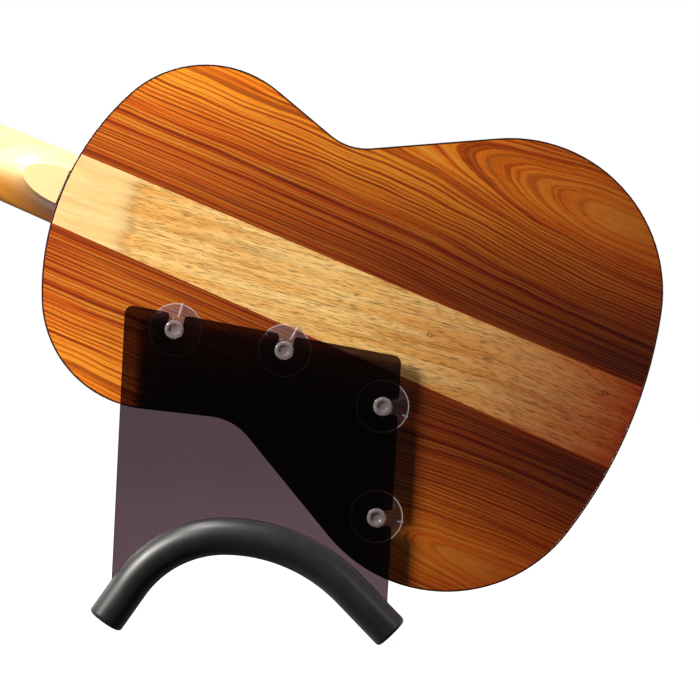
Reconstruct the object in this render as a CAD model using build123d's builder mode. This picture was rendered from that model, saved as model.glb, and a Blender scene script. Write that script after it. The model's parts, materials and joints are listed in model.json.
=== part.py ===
from build123d import *
from math import acos, atan2, cos, degrees, pi, radians, sin
import os

os.makedirs("parts", exist_ok=True)

# A classical guitar stuck by four suction cups to a clear plate with a padded arch, which rests
# on the player's thigh. +Z is up, +Y runs from the back of the guitar to its soundboard, and the
# origin is the underside of the padded arch at its crown, in the middle of the plate's thickness.

# ------------------------------------------------------------------ sizes (millimetres, degrees)
# Support plate
plate_thickness = 5.0
plate_top_length = 221.7
plate_top_slope = 10.8
plate_left_lean = 2.8
plate_right_lean = 3.3
plate_corner_x = 139.7
plate_corner_z = 156.5
plate_corner_radius = 6.5

# Padded arch along the plate's lower edge
foam_diameter = 30.0
foam_bore = 6.0
foam_slit_clearance = 0.05
foam_end_radius = 3.0
arch_left_radius = 91.0
arch_left_turn = 54.7
arch_left_run = 34.8
arch_right_radius = 137.2
arch_right_turn = 46.0
arch_right_run = 48.1
arch_strip = 9.0
arch_strip_setback = 4.0

# Suction cups in their slots
cup_inset = 12.5
cup_top_stations = (42.0, 130.0)
cup_side_stations = (40.0, 127.7)
cup_neck_diameter = 11.4
cup_slot_clearance = 0.3
cup_slot_mouth_radius = 3.0
cup_head_diameter = 15.0
cup_head_thickness = 4.0
cup_head_gap = 0.1
cup_flange_diameter = 17.0
cup_disc_diameter = 42.0
cup_disc_lip = 0.9
cup_wall = 2.0
cup_stand_off = 9.0
cup_seat_gap = 0.15

# Guitar: how it lies on the support
neck_rise = 23.2
tail_x = 320.1
tail_z = 98.9

# Body outline, measured along the centreline from the tail
body_length = 488.0
body_depth = 96.0
lower_bout_u = 129.65
lower_bout_half = 185.2
lower_bout_radius = 121.5
waist_u = 295.9
waist_half = 119.4
waist_radius = 44.2
upper_bout_u = 387.2
upper_bout_half = 141.0
upper_bout_radius = 89.4

# Body shell
back_thickness = 2.6
top_thickness = 2.5
side_thickness = 2.4
binding_width = 1.4
binding_height = 5.0
centre_panel_half_tail = 34.0
centre_panel_half_neck = 29.7
soundhole_diameter = 86.0
soundhole_gap = 1.0
rosette_inner_diameter = 92.0
rosette_outer_diameter = 124.0
rosette_depth = 1.0

# Inside the body
lining_width = 5.5
lining_height = 15.0
tail_block_width = 70.0
tail_block_length = 16.0
neck_block_width = 74.0
neck_block_length = 30.0
graft_width_outer = 14.0
graft_width_inner = 9.0
back_brace_stations = (105.0, 235.0, 385.0)
back_brace_width = 7.0
back_brace_height = 15.0
harmonic_bar_width = 7.0
harmonic_bar_height = 16.0
harmonic_bar_gap = 14.0
fan_brace_count = 7
fan_brace_width = 4.5
fan_brace_height = 5.5
fan_spread_tail = 38.0
fan_spread_waist = 20.0
fan_start_u = 40.0
fan_brace_gap = 0.5
bridge_patch_margin = 6.0
bridge_patch_thickness = 1.6
soundhole_patch_thickness = 1.6
soundhole_patch_rim = 22.0

# Neck and fingerboard
scale_length = 650.0
body_fret = 12
fret_count = 19
neck_width_body = 61.0
neck_width_nut = 52.0
neck_depth_body = 18.0
neck_depth_nut = 15.5
fingerboard_thickness = 6.0
fingerboard_end_margin = 4.0
fret_width = 2.2
fret_height = 1.1
fret_tang_width = 0.6
fret_tang_depth = 2.2
fret_tang_clearance = 0.02
fret_end_inset = 0.3
nut_length = 5.0
nut_height = 9.0
heel_cap_thickness = 3.0
heel_cap_half_width = 14.5
heel_cap_reach = 34.0
tenon_width = 24.0
tenon_length = 18.0
tenon_clearance = 0.1

# Head
head_pitch = 15.0
head_length = 196.0
head_half_width = 35.0
head_thickness = 17.0
head_veneer_thickness = 2.0
head_shoulder = 26.0
head_crest = 10.0
head_slot_inner = 8.0
head_slot_outer = 24.5
head_slot_start = 36.0
head_slot_overrun = 22.0
head_ramp_length = 14.0
head_slot_corner = 3.0

# Tuners
roller_pitch = 35.0
roller_first = 66.0
roller_depth = 8.5
roller_diameter = 10.0
roller_pin_diameter = 4.5
roller_pin_length = 4.0
roller_shaft_diameter = 6.0
roller_side_gap = 0.3
running_clearance = 0.05
tuner_plate_thickness = 1.5
tuner_plate_margin = 18.0
tuner_plate_width = 15.0
cog_teeth = 14
cog_module = 0.9
cog_thickness = 2.6
cog_bore = 4.0
worm_plate_gap = 0.4
cog_tooth_height = 0.8
cog_root_depth = 1.1
cog_tooth_root_width = 1.5
cog_tooth_tip_width = 0.7
cog_tooth_root_overlap = 0.3
worm_pitch_diameter = 6.4
worm_thread_root_width = 0.95
worm_thread_tip_width = 0.5
worm_thread_turns = 2.6
thread_root_overlap = 0.3
worm_shaft_diameter = 3.4
worm_bracket_thickness = 1.4
worm_bracket_gap = 0.3
worm_bracket_width = 7.0
worm_bracket_rim = 3.0
worm_cap_diameter = 4.6
worm_cap_thickness = 0.9
rivet_diameter = 5.0
rivet_height = 1.0
button_length = 17.0
button_width = 22.0
button_thickness = 9.0
button_gap = 2.0
button_grip = 0.6
plate_screw_diameter = 2.2
plate_screw_head = 4.2
plate_screw_length = 9.0
plate_screw_inset = 4.5
plate_screw_head_height = 1.5

# Bridge and saddle
bridge_length = 186.0
bridge_width = 28.0
bridge_wing_thickness = 4.0
bridge_block_length = 84.0
bridge_block_height = 8.5
bridge_ridge_width = 9.0
bridge_tie_width = 11.0
bridge_channel_height = 3.5
saddle_width = 2.5
saddle_length = 79.0
saddle_slot_depth = 5.0
saddle_fit = 0.05
saddle_height = 11.0
tie_hole_diameter = 1.8
tie_hole_height = 5.5
tie_strip_width = 2.0
tie_strip_depth = 1.0

# Strings, from the highest to the lowest
string_diameters = (0.72, 0.82, 1.02, 0.75, 0.9, 1.1)
string_spread_saddle = 58.0
string_spread_nut = 43.0
string_slot_clearance = 0.05
string_saddle_rise = 0.3
string_height_nut = 1.7
string_tail = 1.0
string_tie_bend = 3.0
string_saddle_bend = 3.0
string_nut_bend = 5.0
string_roller_gap = 0.3
string_roller_offsets = (20.0, 16.5, 14.5)

# ------------------------------------------------------------------ places worked out from them
plate_inner_y = plate_thickness / 2
back_y = plate_inner_y + cup_stand_off
rise = radians(neck_rise)
ALONG = Vector(-cos(rise), 0, sin(rise))
ACROSS = Vector(sin(rise), 0, cos(rise))
DEPTH = Vector(0, 1, 0)
GUITAR = Plane(origin=(tail_x, back_y, tail_z), x_dir=ALONG, z_dir=DEPTH)

neck_face = body_depth
nut_u = body_length + scale_length * 2 ** (-body_fret / 12)
saddle_u = nut_u - scale_length
nut_back_u = nut_u + nut_length
soundhole_radius = soundhole_diameter / 2


def fret_u(number):
    """Distance of a fret from the tail."""
    return nut_u - scale_length * (1 - 2 ** (-number / 12))


fingerboard_end_u = fret_u(fret_count) - fingerboard_end_margin
soundhole_u = fingerboard_end_u - soundhole_radius - soundhole_gap


def neck_width(u):
    """Width of the neck and fingerboard at a distance from the tail."""
    return neck_width_nut + (neck_width_body - neck_width_nut) * (nut_u - u) / (nut_u - body_length)


def on_guitar(u, v, w):
    """A point of the guitar: u from the tail, v across, w from the back's face."""
    return GUITAR.from_local_coords(Vector(u, v, w))


def level_plane(w):
    """Plane parallel to the back, at a depth w from its face."""
    return GUITAR.offset(w)


def section_plane(u):
    """Plane square to the centreline: its x runs across and its y runs in depth."""
    return Plane(origin=on_guitar(u, 0, 0), x_dir=ACROSS, z_dir=ALONG)


def profile_plane(v):
    """Plane through the depth, along the centreline: its x is u and its y is w."""
    return Plane(origin=on_guitar(0, v, 0), x_dir=ALONG, z_dir=-ACROSS)


def save(builder, name):
    """Label a finished piece and write it."""
    builder.part.label = name
    export_step(builder.part, f"parts/{name}.step")


# ------------------------------------------------------------------ support plate
plate_right = Vector(plate_corner_x, plate_corner_z)
top_direction = Vector(cos(radians(plate_top_slope)), -sin(radians(plate_top_slope)))
left_direction = Vector(-sin(radians(plate_left_lean)), -cos(radians(plate_left_lean)))
right_direction = Vector(-sin(radians(plate_right_lean)), -cos(radians(plate_right_lean)))
plate_left = plate_right - top_direction * plate_top_length
arch_crown_z = foam_diameter / 2
plate_foot = 400.0


def arch_half(side, lift):
    """Crown-to-end edges of the arch on one side (-1 left, 1 right), raised by lift."""
    if side < 0:
        radius, turn, run = arch_left_radius, arch_left_turn, arch_left_run
    else:
        radius, turn, run = arch_right_radius, arch_right_turn, arch_right_run
    centre = Vector(0, arch_crown_z - radius)
    bend = radians(turn)
    middle = centre + Vector(side * sin(bend / 2), cos(bend / 2)) * (radius + lift)
    corner = centre + Vector(side * sin(bend), cos(bend)) * (radius + lift)
    end = corner + Vector(side * cos(bend), -sin(bend)) * (run - (arch_strip_setback if lift else 0))
    crown = centre + Vector(0, radius + lift)
    return crown, middle, corner, end


def strip_sketch(side, lift):
    """Band between the arch's centreline and its parallel at a distance lift, on one side."""
    low = arch_half(side, 0)
    high = arch_half(side, lift)
    setback = (low[3] - low[2]).normalized() * arch_strip_setback
    low_end = low[3] - setback
    with BuildSketch() as band:
        with BuildLine():
            ThreePointArc(low[0], low[1], low[2])
            Polyline(low[2], low_end, high[3], high[2])
            ThreePointArc(high[2], high[1], high[0])
            Line(high[0], low[0])
        make_face()
    return band.sketch


def under_arch_sketch():
    """Everything below the arch's centreline."""
    left = arch_half(-1, 0)
    right = arch_half(1, 0)
    with BuildSketch() as hollow:
        with BuildLine():
            ThreePointArc(left[0], left[1], left[2])
            Line(left[2], left[3])
            Polyline(left[3], left[3] - (plate_foot, 0), (left[3].X - plate_foot, -plate_foot))
            Line((left[3].X - plate_foot, -plate_foot), (right[3].X + plate_foot, -plate_foot))
            Polyline((right[3].X + plate_foot, -plate_foot), right[3] + (plate_foot, 0), right[3])
            Line(right[3], right[2])
            ThreePointArc(right[2], right[1], right[0])
        make_face()
    return hollow.sketch


def cup_places():
    """Centre and slot direction of each cup, in the plate's plane."""
    up = Vector(sin(radians(plate_top_slope)), cos(radians(plate_top_slope)))
    out = Vector(cos(radians(plate_right_lean)), -sin(radians(plate_right_lean)))
    places = []
    for station in cup_top_stations:
        places.append((plate_left + top_direction * station - up * cup_inset, up))
    for station in cup_side_stations:
        places.append((plate_right + right_direction * station - out * cup_inset, out))
    return places


cups = cup_places()
slot_radius = cup_neck_diameter / 2 + cup_slot_clearance
PLATE_MID = Plane.XZ

with BuildPart() as support_plate:
    with BuildSketch(PLATE_MID):
        with BuildLine():
            Polyline(
                plate_left,
                plate_right,
                plate_right + right_direction * plate_foot,
                plate_left + left_direction * plate_foot,
                close=True,
            )
        make_face()
        add(under_arch_sketch(), mode=Mode.SUBTRACT)
        for side in (-1, 1):
            add(strip_sketch(side, arch_strip))
        for centre, direction in cups:
            mouth = centre + direction * (2 * cup_inset)
            with BuildLine():
                flank = Vector(-direction.Y, direction.X) * slot_radius
                Line(centre - flank, mouth - flank)
                Line(mouth - flank, mouth + flank)
                Line(mouth + flank, centre + flank)
                ThreePointArc(centre + flank, centre - direction * slot_radius, centre - flank)
            make_face(mode=Mode.SUBTRACT)
    extrude(amount=plate_thickness / 2, both=True)
    upright = support_plate.edges().filter_by(Axis.Y)
    corners = [plate_left, plate_right]
    fillet(
        [e for e in upright if min((e.center() - Vector(c.X, 0, c.Y)).length for c in corners) < 1],
        radius=plate_corner_radius,
    )
    mouths = []
    for centre, direction in cups:
        edge_point = centre + direction * cup_inset
        for flank in (-slot_radius, slot_radius):
            point = edge_point + Vector(-direction.Y, direction.X) * flank
            mouths.append(Vector(point.X, 0, point.Y))
    upright = support_plate.edges().filter_by(Axis.Y)
    fillet(
        [e for e in upright if min((e.center() - m).length for m in mouths) < 1],
        radius=cup_slot_mouth_radius,
    )
save(support_plate, "support_plate")

# ------------------------------------------------------------------ padded arch


def arch_sweep(section):
    """Solid of a flat section carried along the arch: two straight runs and two bends."""
    with BuildPart() as carried:
        for side in (-1, 1):
            crown, middle, corner, end = arch_half(side, 0)
            run_start = Vector(end.X, 0, end.Y)
            run = Vector(corner.X, 0, corner.Y) - run_start
            run_plane = Plane(origin=run_start, x_dir=(0, -side, 0), z_dir=run)
            with BuildSketch(run_plane):
                add(section)
            extrude(amount=run.length)
            radius = arch_left_radius if side < 0 else arch_right_radius
            turn = arch_left_turn if side < 0 else arch_right_turn
            with BuildSketch(Plane.YZ.offset(0)):
                with Locations((0, arch_crown_z)):
                    add(section)
            bend_axis = Axis((0, 0, arch_crown_z - radius), (0, side, 0))
            revolve(axis=bend_axis, revolution_arc=turn)
    return carried.part


with BuildSketch() as tube_section:
    Circle(foam_diameter / 2)
with BuildSketch() as slit_section:
    Circle(foam_bore / 2)
    with Locations((0, foam_diameter / 2)):
        Rectangle(plate_thickness + 2 * foam_slit_clearance, foam_diameter)

with BuildPart() as arch_foam_sleeve:
    add(arch_sweep(tube_section.sketch))
    fillet(arch_foam_sleeve.faces().filter_by(GeomType.PLANE).edges(), radius=foam_end_radius)
    add(arch_sweep(slit_section.sketch), mode=Mode.SUBTRACT)
save(arch_foam_sleeve, "arch_foam_sleeve")

# ------------------------------------------------------------------ suction cups
outer_y = -plate_thickness / 2
lip_y = back_y - cup_seat_gap
neck_radius = cup_neck_diameter / 2
for number, (centre, direction) in enumerate(cups, start=1):
    cup_plane = Plane(origin=(centre.X, 0, centre.Y), x_dir=(1, 0, 0), z_dir=(0, 0, 1))
    with BuildPart() as suction_cup:
        with BuildSketch(cup_plane):
            with BuildLine():
                head_top = outer_y - cup_head_gap - cup_head_thickness
                disc_radius = cup_disc_diameter / 2
                flange_y = plate_inner_y + cup_head_gap
                Polyline(
                    (0, lip_y - cup_wall),
                    (0, head_top),
                    (cup_head_diameter / 2, head_top),
                    (cup_head_diameter / 2, outer_y - cup_head_gap),
                    (neck_radius, outer_y - cup_head_gap),
                    (neck_radius, flange_y),
                    (cup_flange_diameter / 2, flange_y),
                    (cup_flange_diameter / 2, flange_y + cup_wall),
                )
                Spline(
                    (cup_flange_diameter / 2, flange_y + cup_wall),
                    (disc_radius * 0.72, lip_y - cup_disc_lip - 1.6),
                    (disc_radius, lip_y - cup_disc_lip),
                )
                Line((disc_radius, lip_y - cup_disc_lip), (disc_radius, lip_y))
                Line((disc_radius, lip_y), (disc_radius - cup_wall, lip_y))
                Spline(
                    (disc_radius - cup_wall, lip_y),
                    (disc_radius * 0.55, lip_y - cup_wall * 0.75),
                    (0, lip_y - cup_wall),
                    tangents=((-1, -0.3), (-1, 0)),
                )
            make_face()
        revolve(axis=Axis((centre.X, 0, centre.Y), (0, 1, 0)))
        head_edges = suction_cup.edges().filter_by(GeomType.CIRCLE).group_by(Axis.Y)[0]
        fillet(head_edges, radius=cup_head_thickness * 0.35)
    save(suction_cup, f"suction_cup_{number}")

# ------------------------------------------------------------------ body outline
lower_centre = Vector(lower_bout_u, lower_bout_half - lower_bout_radius)
waist_centre = Vector(waist_u, waist_half + waist_radius)
upper_centre = Vector(upper_bout_u, upper_bout_half - upper_bout_radius)


def end_radius(distance, height, radius):
    """Radius of the arc across an end, centred on the centreline and touching the bout."""
    return (distance**2 + height**2 - radius**2) / (2 * (distance - radius))


def heading(start, end):
    """Direction from one point to another."""
    return degrees(atan2(end.Y - start.Y, end.X - start.X))


def waist_run_normal(bout_centre, bout_radius, side):
    """Direction that the straight run between a bout and the waist faces."""
    reach = (waist_centre - bout_centre).length
    return heading(bout_centre, waist_centre) + side * degrees(acos((bout_radius + waist_radius) / reach))


tail_radius = end_radius(lower_bout_u, lower_centre.Y, lower_bout_radius)
shoulder_radius = end_radius(body_length - upper_bout_u, upper_centre.Y, upper_bout_radius)
tail_centre = Vector(tail_radius, 0)
shoulder_centre = Vector(body_length - shoulder_radius, 0)
tail_turn = heading(tail_centre, lower_centre)
lower_turn = waist_run_normal(lower_centre, lower_bout_radius, 1)
upper_turn = waist_run_normal(upper_centre, upper_bout_radius, -1)
shoulder_turn = heading(shoulder_centre, upper_centre)


def body_outline(inset):
    """The body's outline as a flat face, moved in by inset all round."""
    arcs = (
        (tail_centre, tail_radius - inset, 180, tail_turn),
        (lower_centre, lower_bout_radius - inset, tail_turn, lower_turn),
        (waist_centre, waist_radius + inset, lower_turn + 180, upper_turn + 180),
        (upper_centre, upper_bout_radius - inset, upper_turn, shoulder_turn),
        (shoulder_centre, shoulder_radius - inset, shoulder_turn, 0),
    )
    with BuildSketch() as outline:
        with BuildLine():
            drawn = [CenterArc(c, radius, start, end - start) for c, radius, start, end in arcs]
            Line(drawn[1] @ 1, drawn[2] @ 0)
            Line(drawn[2] @ 1, drawn[3] @ 0)
            mirror(about=Plane.XZ)
        make_face()
    return outline.sketch


outer_face = body_outline(0)
plate_face = body_outline(binding_width)
rib_inner_face = body_outline(side_thickness)
lining_inner_face = body_outline(side_thickness + lining_width)


def centre_panel_sketch():
    """Wedge of the back's middle panel, longer than the body at both ends."""
    with BuildSketch() as wedge:
        with BuildLine():
            Polyline(
                (0, centre_panel_half_tail),
                (body_length, centre_panel_half_neck),
                (body_length, -centre_panel_half_neck),
                (0, -centre_panel_half_tail),
                close=True,
            )
        make_face()
    return wedge.sketch


def half_sheet_sketch(side):
    """A sheet that covers one side of the centreline."""
    with BuildSketch() as sheet:
        with Locations((body_length / 2, side * body_length / 2)):
            Rectangle(2 * body_length, body_length)
    return sheet.sketch


# ------------------------------------------------------------------ back
with BuildPart() as back_center_panel:
    with BuildSketch(GUITAR):
        add(plate_face)
        add(centre_panel_sketch(), mode=Mode.INTERSECT)
    extrude(amount=back_thickness)
save(back_center_panel, "back_center_panel")

for side, name in ((1, "upper"), (-1, "lower")):
    with BuildPart() as back_panel:
        with BuildSketch(GUITAR):
            add(plate_face)
            add(half_sheet_sketch(side), mode=Mode.INTERSECT)
            add(centre_panel_sketch(), mode=Mode.SUBTRACT)
        extrude(amount=back_thickness)
    save(back_panel, f"back_panel_{name}")

# ------------------------------------------------------------------ sides and bindings
rib_height = body_depth - back_thickness - top_thickness


def graft_half_width(inset):
    """Half the width of the tail inlay at a distance inside the tail."""
    return (graft_width_outer + (graft_width_inner - graft_width_outer) * inset / side_thickness) / 2


def graft_sketch():
    """Tapered inlay across the joint of the two sides at the tail."""
    with BuildSketch() as graft:
        with BuildLine():
            Polyline(
                (-side_thickness, graft_half_width(-side_thickness)),
                (2 * side_thickness, graft_half_width(2 * side_thickness)),
                (2 * side_thickness, -graft_half_width(2 * side_thickness)),
                (-side_thickness, -graft_half_width(-side_thickness)),
                close=True,
            )
        make_face()
    return graft.sketch


def rib_sketch():
    """Ring of the bent sides, from the outline inwards."""
    with BuildSketch() as ring:
        add(outer_face)
        add(rib_inner_face, mode=Mode.SUBTRACT)
    return ring.sketch


def binding_sketch():
    """Ring of a binding, from the outline inwards."""
    with BuildSketch() as ring:
        add(outer_face)
        add(plate_face, mode=Mode.SUBTRACT)
    return ring.sketch


for side, name in ((1, "upper"), (-1, "lower")):
    with BuildPart() as rib:
        with BuildSketch(level_plane(back_thickness)):
            add(rib_sketch())
            add(half_sheet_sketch(side), mode=Mode.INTERSECT)
            add(graft_sketch(), mode=Mode.SUBTRACT)
            with Locations((body_length, 0)):
                Rectangle(4 * side_thickness, tenon_width + 2 * tenon_clearance, mode=Mode.SUBTRACT)
        extrude(amount=rib_height)
        for level in (0, body_depth - binding_height):
            with BuildSketch(level_plane(level)):
                add(binding_sketch())
            extrude(amount=binding_height, mode=Mode.SUBTRACT)
    save(rib, f"side_{name}")

with BuildPart() as bindings:
    with BuildSketch(GUITAR):
        add(binding_sketch())
    extrude(amount=binding_height)
    with BuildSketch(level_plane(body_depth - binding_height)):
        add(binding_sketch())
        with Locations((body_length, 0)):
            Rectangle(4 * binding_width, neck_width(body_length), mode=Mode.SUBTRACT)
    extrude(amount=binding_height)
save(bindings, "bindings")

with BuildPart() as end_graft:
    with BuildSketch(level_plane(binding_height)):
        add(rib_sketch())
        add(graft_sketch(), mode=Mode.INTERSECT)
    extrude(amount=body_depth - 2 * binding_height)
save(end_graft, "end_graft")

# ------------------------------------------------------------------ blocks, linings and braces
with BuildPart() as tail_block:
    with BuildSketch(level_plane(back_thickness)):
        add(rib_inner_face)
        with Locations((side_thickness + tail_block_length / 2, 0)):
            Rectangle(tail_block_length, tail_block_width, mode=Mode.INTERSECT)
    extrude(amount=rib_height)
save(tail_block, "tail_block")

tenon_start_u = body_length - side_thickness - tenon_length
with BuildPart() as neck_block:
    with BuildSketch(level_plane(back_thickness)):
        add(rib_inner_face)
        with Locations((body_length - side_thickness - neck_block_length / 2, 0)):
            Rectangle(neck_block_length, neck_block_width, mode=Mode.INTERSECT)
        with Locations((body_length, 0)):
            Rectangle(
                2 * (body_length - tenon_start_u + tenon_clearance),
                tenon_width + 2 * tenon_clearance,
                mode=Mode.SUBTRACT,
            )
    extrude(amount=rib_height)
save(neck_block, "neck_block")

with BuildPart() as linings:
    for level in (back_thickness, body_depth - top_thickness - lining_height):
        with BuildSketch(level_plane(level)):
            add(rib_inner_face)
            add(lining_inner_face, mode=Mode.SUBTRACT)
            with Locations((side_thickness, 0)):
                Rectangle(2 * tail_block_length, tail_block_width, mode=Mode.SUBTRACT)
            with Locations((body_length - side_thickness, 0)):
                Rectangle(2 * neck_block_length, neck_block_width, mode=Mode.SUBTRACT)
        extrude(amount=lining_height)
save(linings, "linings")

with BuildPart() as back_braces:
    for station in back_brace_stations:
        with BuildSketch(level_plane(back_thickness)):
            add(lining_inner_face)
            with Locations((station, 0)):
                Rectangle(back_brace_width, 2 * body_length, mode=Mode.INTERSECT)
        extrude(amount=back_brace_height)
        crests = back_braces.edges().filter_by(
            lambda e: abs(e.center().Y - (back_y + back_thickness + back_brace_height)) < 0.01
        )
    fillet(crests.filter_by(lambda e: e.length > 3 * back_brace_width), radius=back_brace_width * 0.4)
save(back_braces, "back_braces")

bar_reach = soundhole_radius + harmonic_bar_gap
harmonic_bar_stations = (soundhole_u - bar_reach, soundhole_u + bar_reach)
top_inside = body_depth - top_thickness
bridge_mid_u = saddle_u + bridge_ridge_width / 2 - bridge_width / 2
fan_end_u = harmonic_bar_stations[0] - harmonic_bar_width / 2 - fan_brace_gap

with BuildPart() as soundboard_patches:
    with BuildSketch(level_plane(top_inside)):
        with Locations((bridge_mid_u, 0)):
            Rectangle(bridge_width + 2 * bridge_patch_margin, bridge_length)
    extrude(amount=-bridge_patch_thickness)
    with BuildSketch(level_plane(top_inside)):
        with Locations((soundhole_u, 0)):
            Circle(soundhole_radius + soundhole_patch_rim)
            Rectangle(2 * bar_reach - harmonic_bar_width, 4 * bar_reach, mode=Mode.INTERSECT)
            Circle(soundhole_radius, mode=Mode.SUBTRACT)
    extrude(amount=-soundhole_patch_thickness)
save(soundboard_patches, "soundboard_patches")

with BuildPart() as soundboard_braces:
    for number in range(fan_brace_count):
        step = number - (fan_brace_count - 1) / 2
        tail_v = step * fan_spread_tail
        waist_v = step * fan_spread_waist
        sweep_angle = atan2(waist_v - tail_v, fan_end_u - fan_start_u)
        middle = ((fan_start_u + fan_end_u) / 2, (tail_v + waist_v) / 2)
        with BuildSketch(level_plane(top_inside)):
            with Locations(Location((*middle, 0), (0, 0, degrees(sweep_angle)))):
                Rectangle(2 * body_length, fan_brace_width)
            with Locations(((fan_start_u + fan_end_u) / 2, 0)):
                Rectangle(fan_end_u - fan_start_u, 2 * body_length, mode=Mode.INTERSECT)
            add(lining_inner_face, mode=Mode.INTERSECT)
        extrude(amount=-fan_brace_height)
    add(soundboard_patches.part, mode=Mode.SUBTRACT)
    for station in harmonic_bar_stations:
        with BuildSketch(level_plane(top_inside)):
            add(lining_inner_face)
            with Locations((station, 0)):
                Rectangle(harmonic_bar_width, 2 * body_length, mode=Mode.INTERSECT)
        extrude(amount=-harmonic_bar_height)
save(soundboard_braces, "soundboard_braces")

# ------------------------------------------------------------------ soundboard and rosette


def fingerboard_outline(inset=0.0):
    """Tapered outline of the fingerboard, cut round to follow the soundhole."""
    with BuildSketch() as board:
        with BuildLine():
            near = neck_width(fingerboard_end_u) / 2 - inset
            far = neck_width(nut_u) / 2 - inset
            Polyline(
                (fingerboard_end_u, near),
                (nut_u, far),
                (nut_u, -far),
                (fingerboard_end_u, -near),
                close=True,
            )
        make_face()
        with Locations((soundhole_u, 0)):
            Circle(soundhole_radius + soundhole_gap, mode=Mode.SUBTRACT)
    return board.sketch


def rosette_sketch():
    """Ring round the soundhole, broken where the fingerboard lies over it."""
    with BuildSketch() as ring:
        with Locations((soundhole_u, 0)):
            Circle(rosette_outer_diameter / 2)
            Circle(rosette_inner_diameter / 2, mode=Mode.SUBTRACT)
        add(fingerboard_outline(), mode=Mode.SUBTRACT)
    return ring.sketch


for side, name in ((1, "bass"), (-1, "treble")):
    with BuildPart() as soundboard:
        with BuildSketch(level_plane(top_inside)):
            add(plate_face)
            add(half_sheet_sketch(side), mode=Mode.INTERSECT)
            with Locations((soundhole_u, 0)):
                Circle(soundhole_radius, mode=Mode.SUBTRACT)
        extrude(amount=top_thickness)
        with BuildSketch(level_plane(body_depth - rosette_depth)):
            add(rosette_sketch())
        extrude(amount=rosette_depth, mode=Mode.SUBTRACT)
    save(soundboard, f"soundboard_{name}")

with BuildPart() as rosette:
    with BuildSketch(level_plane(body_depth - rosette_depth)):
        add(rosette_sketch())
    extrude(amount=rosette_depth)
save(rosette, "rosette")

# ------------------------------------------------------------------ neck, heel and head
HEAD = Plane(
    origin=on_guitar(nut_back_u, 0, neck_face),
    x_dir=ALONG * cos(radians(head_pitch)) - DEPTH * sin(radians(head_pitch)),
    z_dir=ALONG * sin(radians(head_pitch)) + DEPTH * cos(radians(head_pitch)),
)


def on_head(x, y, z):
    """A point of the head: x from the nut, y across, z above its wooden face."""
    return HEAD.from_local_coords(Vector(x, y, z))


def neck_section(u, depth):
    """Flat-topped oval section of the neck's shaft."""
    half = neck_width(u) / 2
    with BuildSketch(section_plane(u)) as shape:
        with BuildLine():
            EllipticalCenterArc((0, neck_face), half, depth, start_angle=180, arc_size=180)
            Line((half, neck_face), (-half, neck_face))
        make_face()
    return shape.sketch


def heel_section(w, reach, half):
    """Round-nosed section of the heel, parallel to the back."""
    with BuildSketch(level_plane(w)) as shape:
        with BuildLine():
            EllipticalCenterArc((body_length, 0), reach, half, start_angle=-90, arc_size=180)
            Line((body_length, half), (body_length, -half))
        make_face()
    return shape.sketch


def head_outline():
    """Plain straight-sided head with rounded shoulders and a shallow crest."""
    neck_half = neck_width(nut_back_u) / 2
    with BuildSketch() as shape:
        with BuildLine():
            Line((0, neck_half), (head_shoulder, head_half_width))
            Line((head_shoulder, head_half_width), (head_length - head_crest, head_half_width))
            ThreePointArc(
                (head_length - head_crest, head_half_width),
                (head_length, 0),
                (head_length - head_crest, -head_half_width),
            )
            Line((head_length - head_crest, -head_half_width), (head_shoulder, -head_half_width))
            Polyline((head_shoulder, -head_half_width), (0, -neck_half), (0, neck_half))
        make_face()
    return shape.sketch


def head_slots_sketch():
    """The two string slots."""
    slot_end = roller_first + 2 * roller_pitch + head_slot_overrun
    with BuildSketch() as slots:
        for side in (-1, 1):
            middle_y = side * (head_slot_inner + head_slot_outer) / 2
            with Locations(((head_slot_start + slot_end) / 2, middle_y)):
                Rectangle(slot_end - head_slot_start, head_slot_outer - head_slot_inner)
        fillet(slots.vertices(), radius=head_slot_corner)
    return slots.sketch


def head_ramp():
    """Wedges that open the slots towards the nut."""
    with BuildPart() as ramp:
        for side in (-1, 1):
            middle_y = side * (head_slot_inner + head_slot_outer) / 2
            ramp_plane = Plane(
                origin=on_head(0, middle_y, 0), x_dir=HEAD.x_dir, z_dir=-HEAD.y_dir
            )
            with BuildSketch(ramp_plane):
                with BuildLine():
                    Polyline(
                        (head_slot_start - head_ramp_length, head_veneer_thickness),
                        (head_slot_start + 4, head_veneer_thickness),
                        (head_slot_start + 4, -head_thickness * 0.5),
                        (head_slot_start, -head_thickness * 0.4),
                        close=True,
                    )
                make_face()
            extrude(amount=(head_slot_outer - head_slot_inner) / 2, both=True)
    return ramp.part


slot_ramps = head_ramp()
roller_places = [roller_first + number * roller_pitch for number in range(3)]
cog_pitch_radius = cog_module * cog_teeth / 2
worm_lead = pi * cog_module
worm_offset = cog_pitch_radius + worm_pitch_diameter / 2
tuner_plate_start = roller_places[0] - tuner_plate_margin
tuner_plate_end = roller_places[-1] + worm_offset + tuner_plate_margin


def side_plane(side, x, y, z=-roller_depth):
    """Plane facing out of one side of the head."""
    return Plane(origin=on_head(x, side * y, z), x_dir=HEAD.x_dir, z_dir=HEAD.y_dir * side)


def screw_planes(side, y):
    """Planes at the two fixing screws of a tuner plate, at a distance y from the centreline."""
    ends = (tuner_plate_start + plate_screw_inset, tuner_plate_end - plate_screw_inset)
    return [side_plane(side, x, y) for x in ends]


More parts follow.
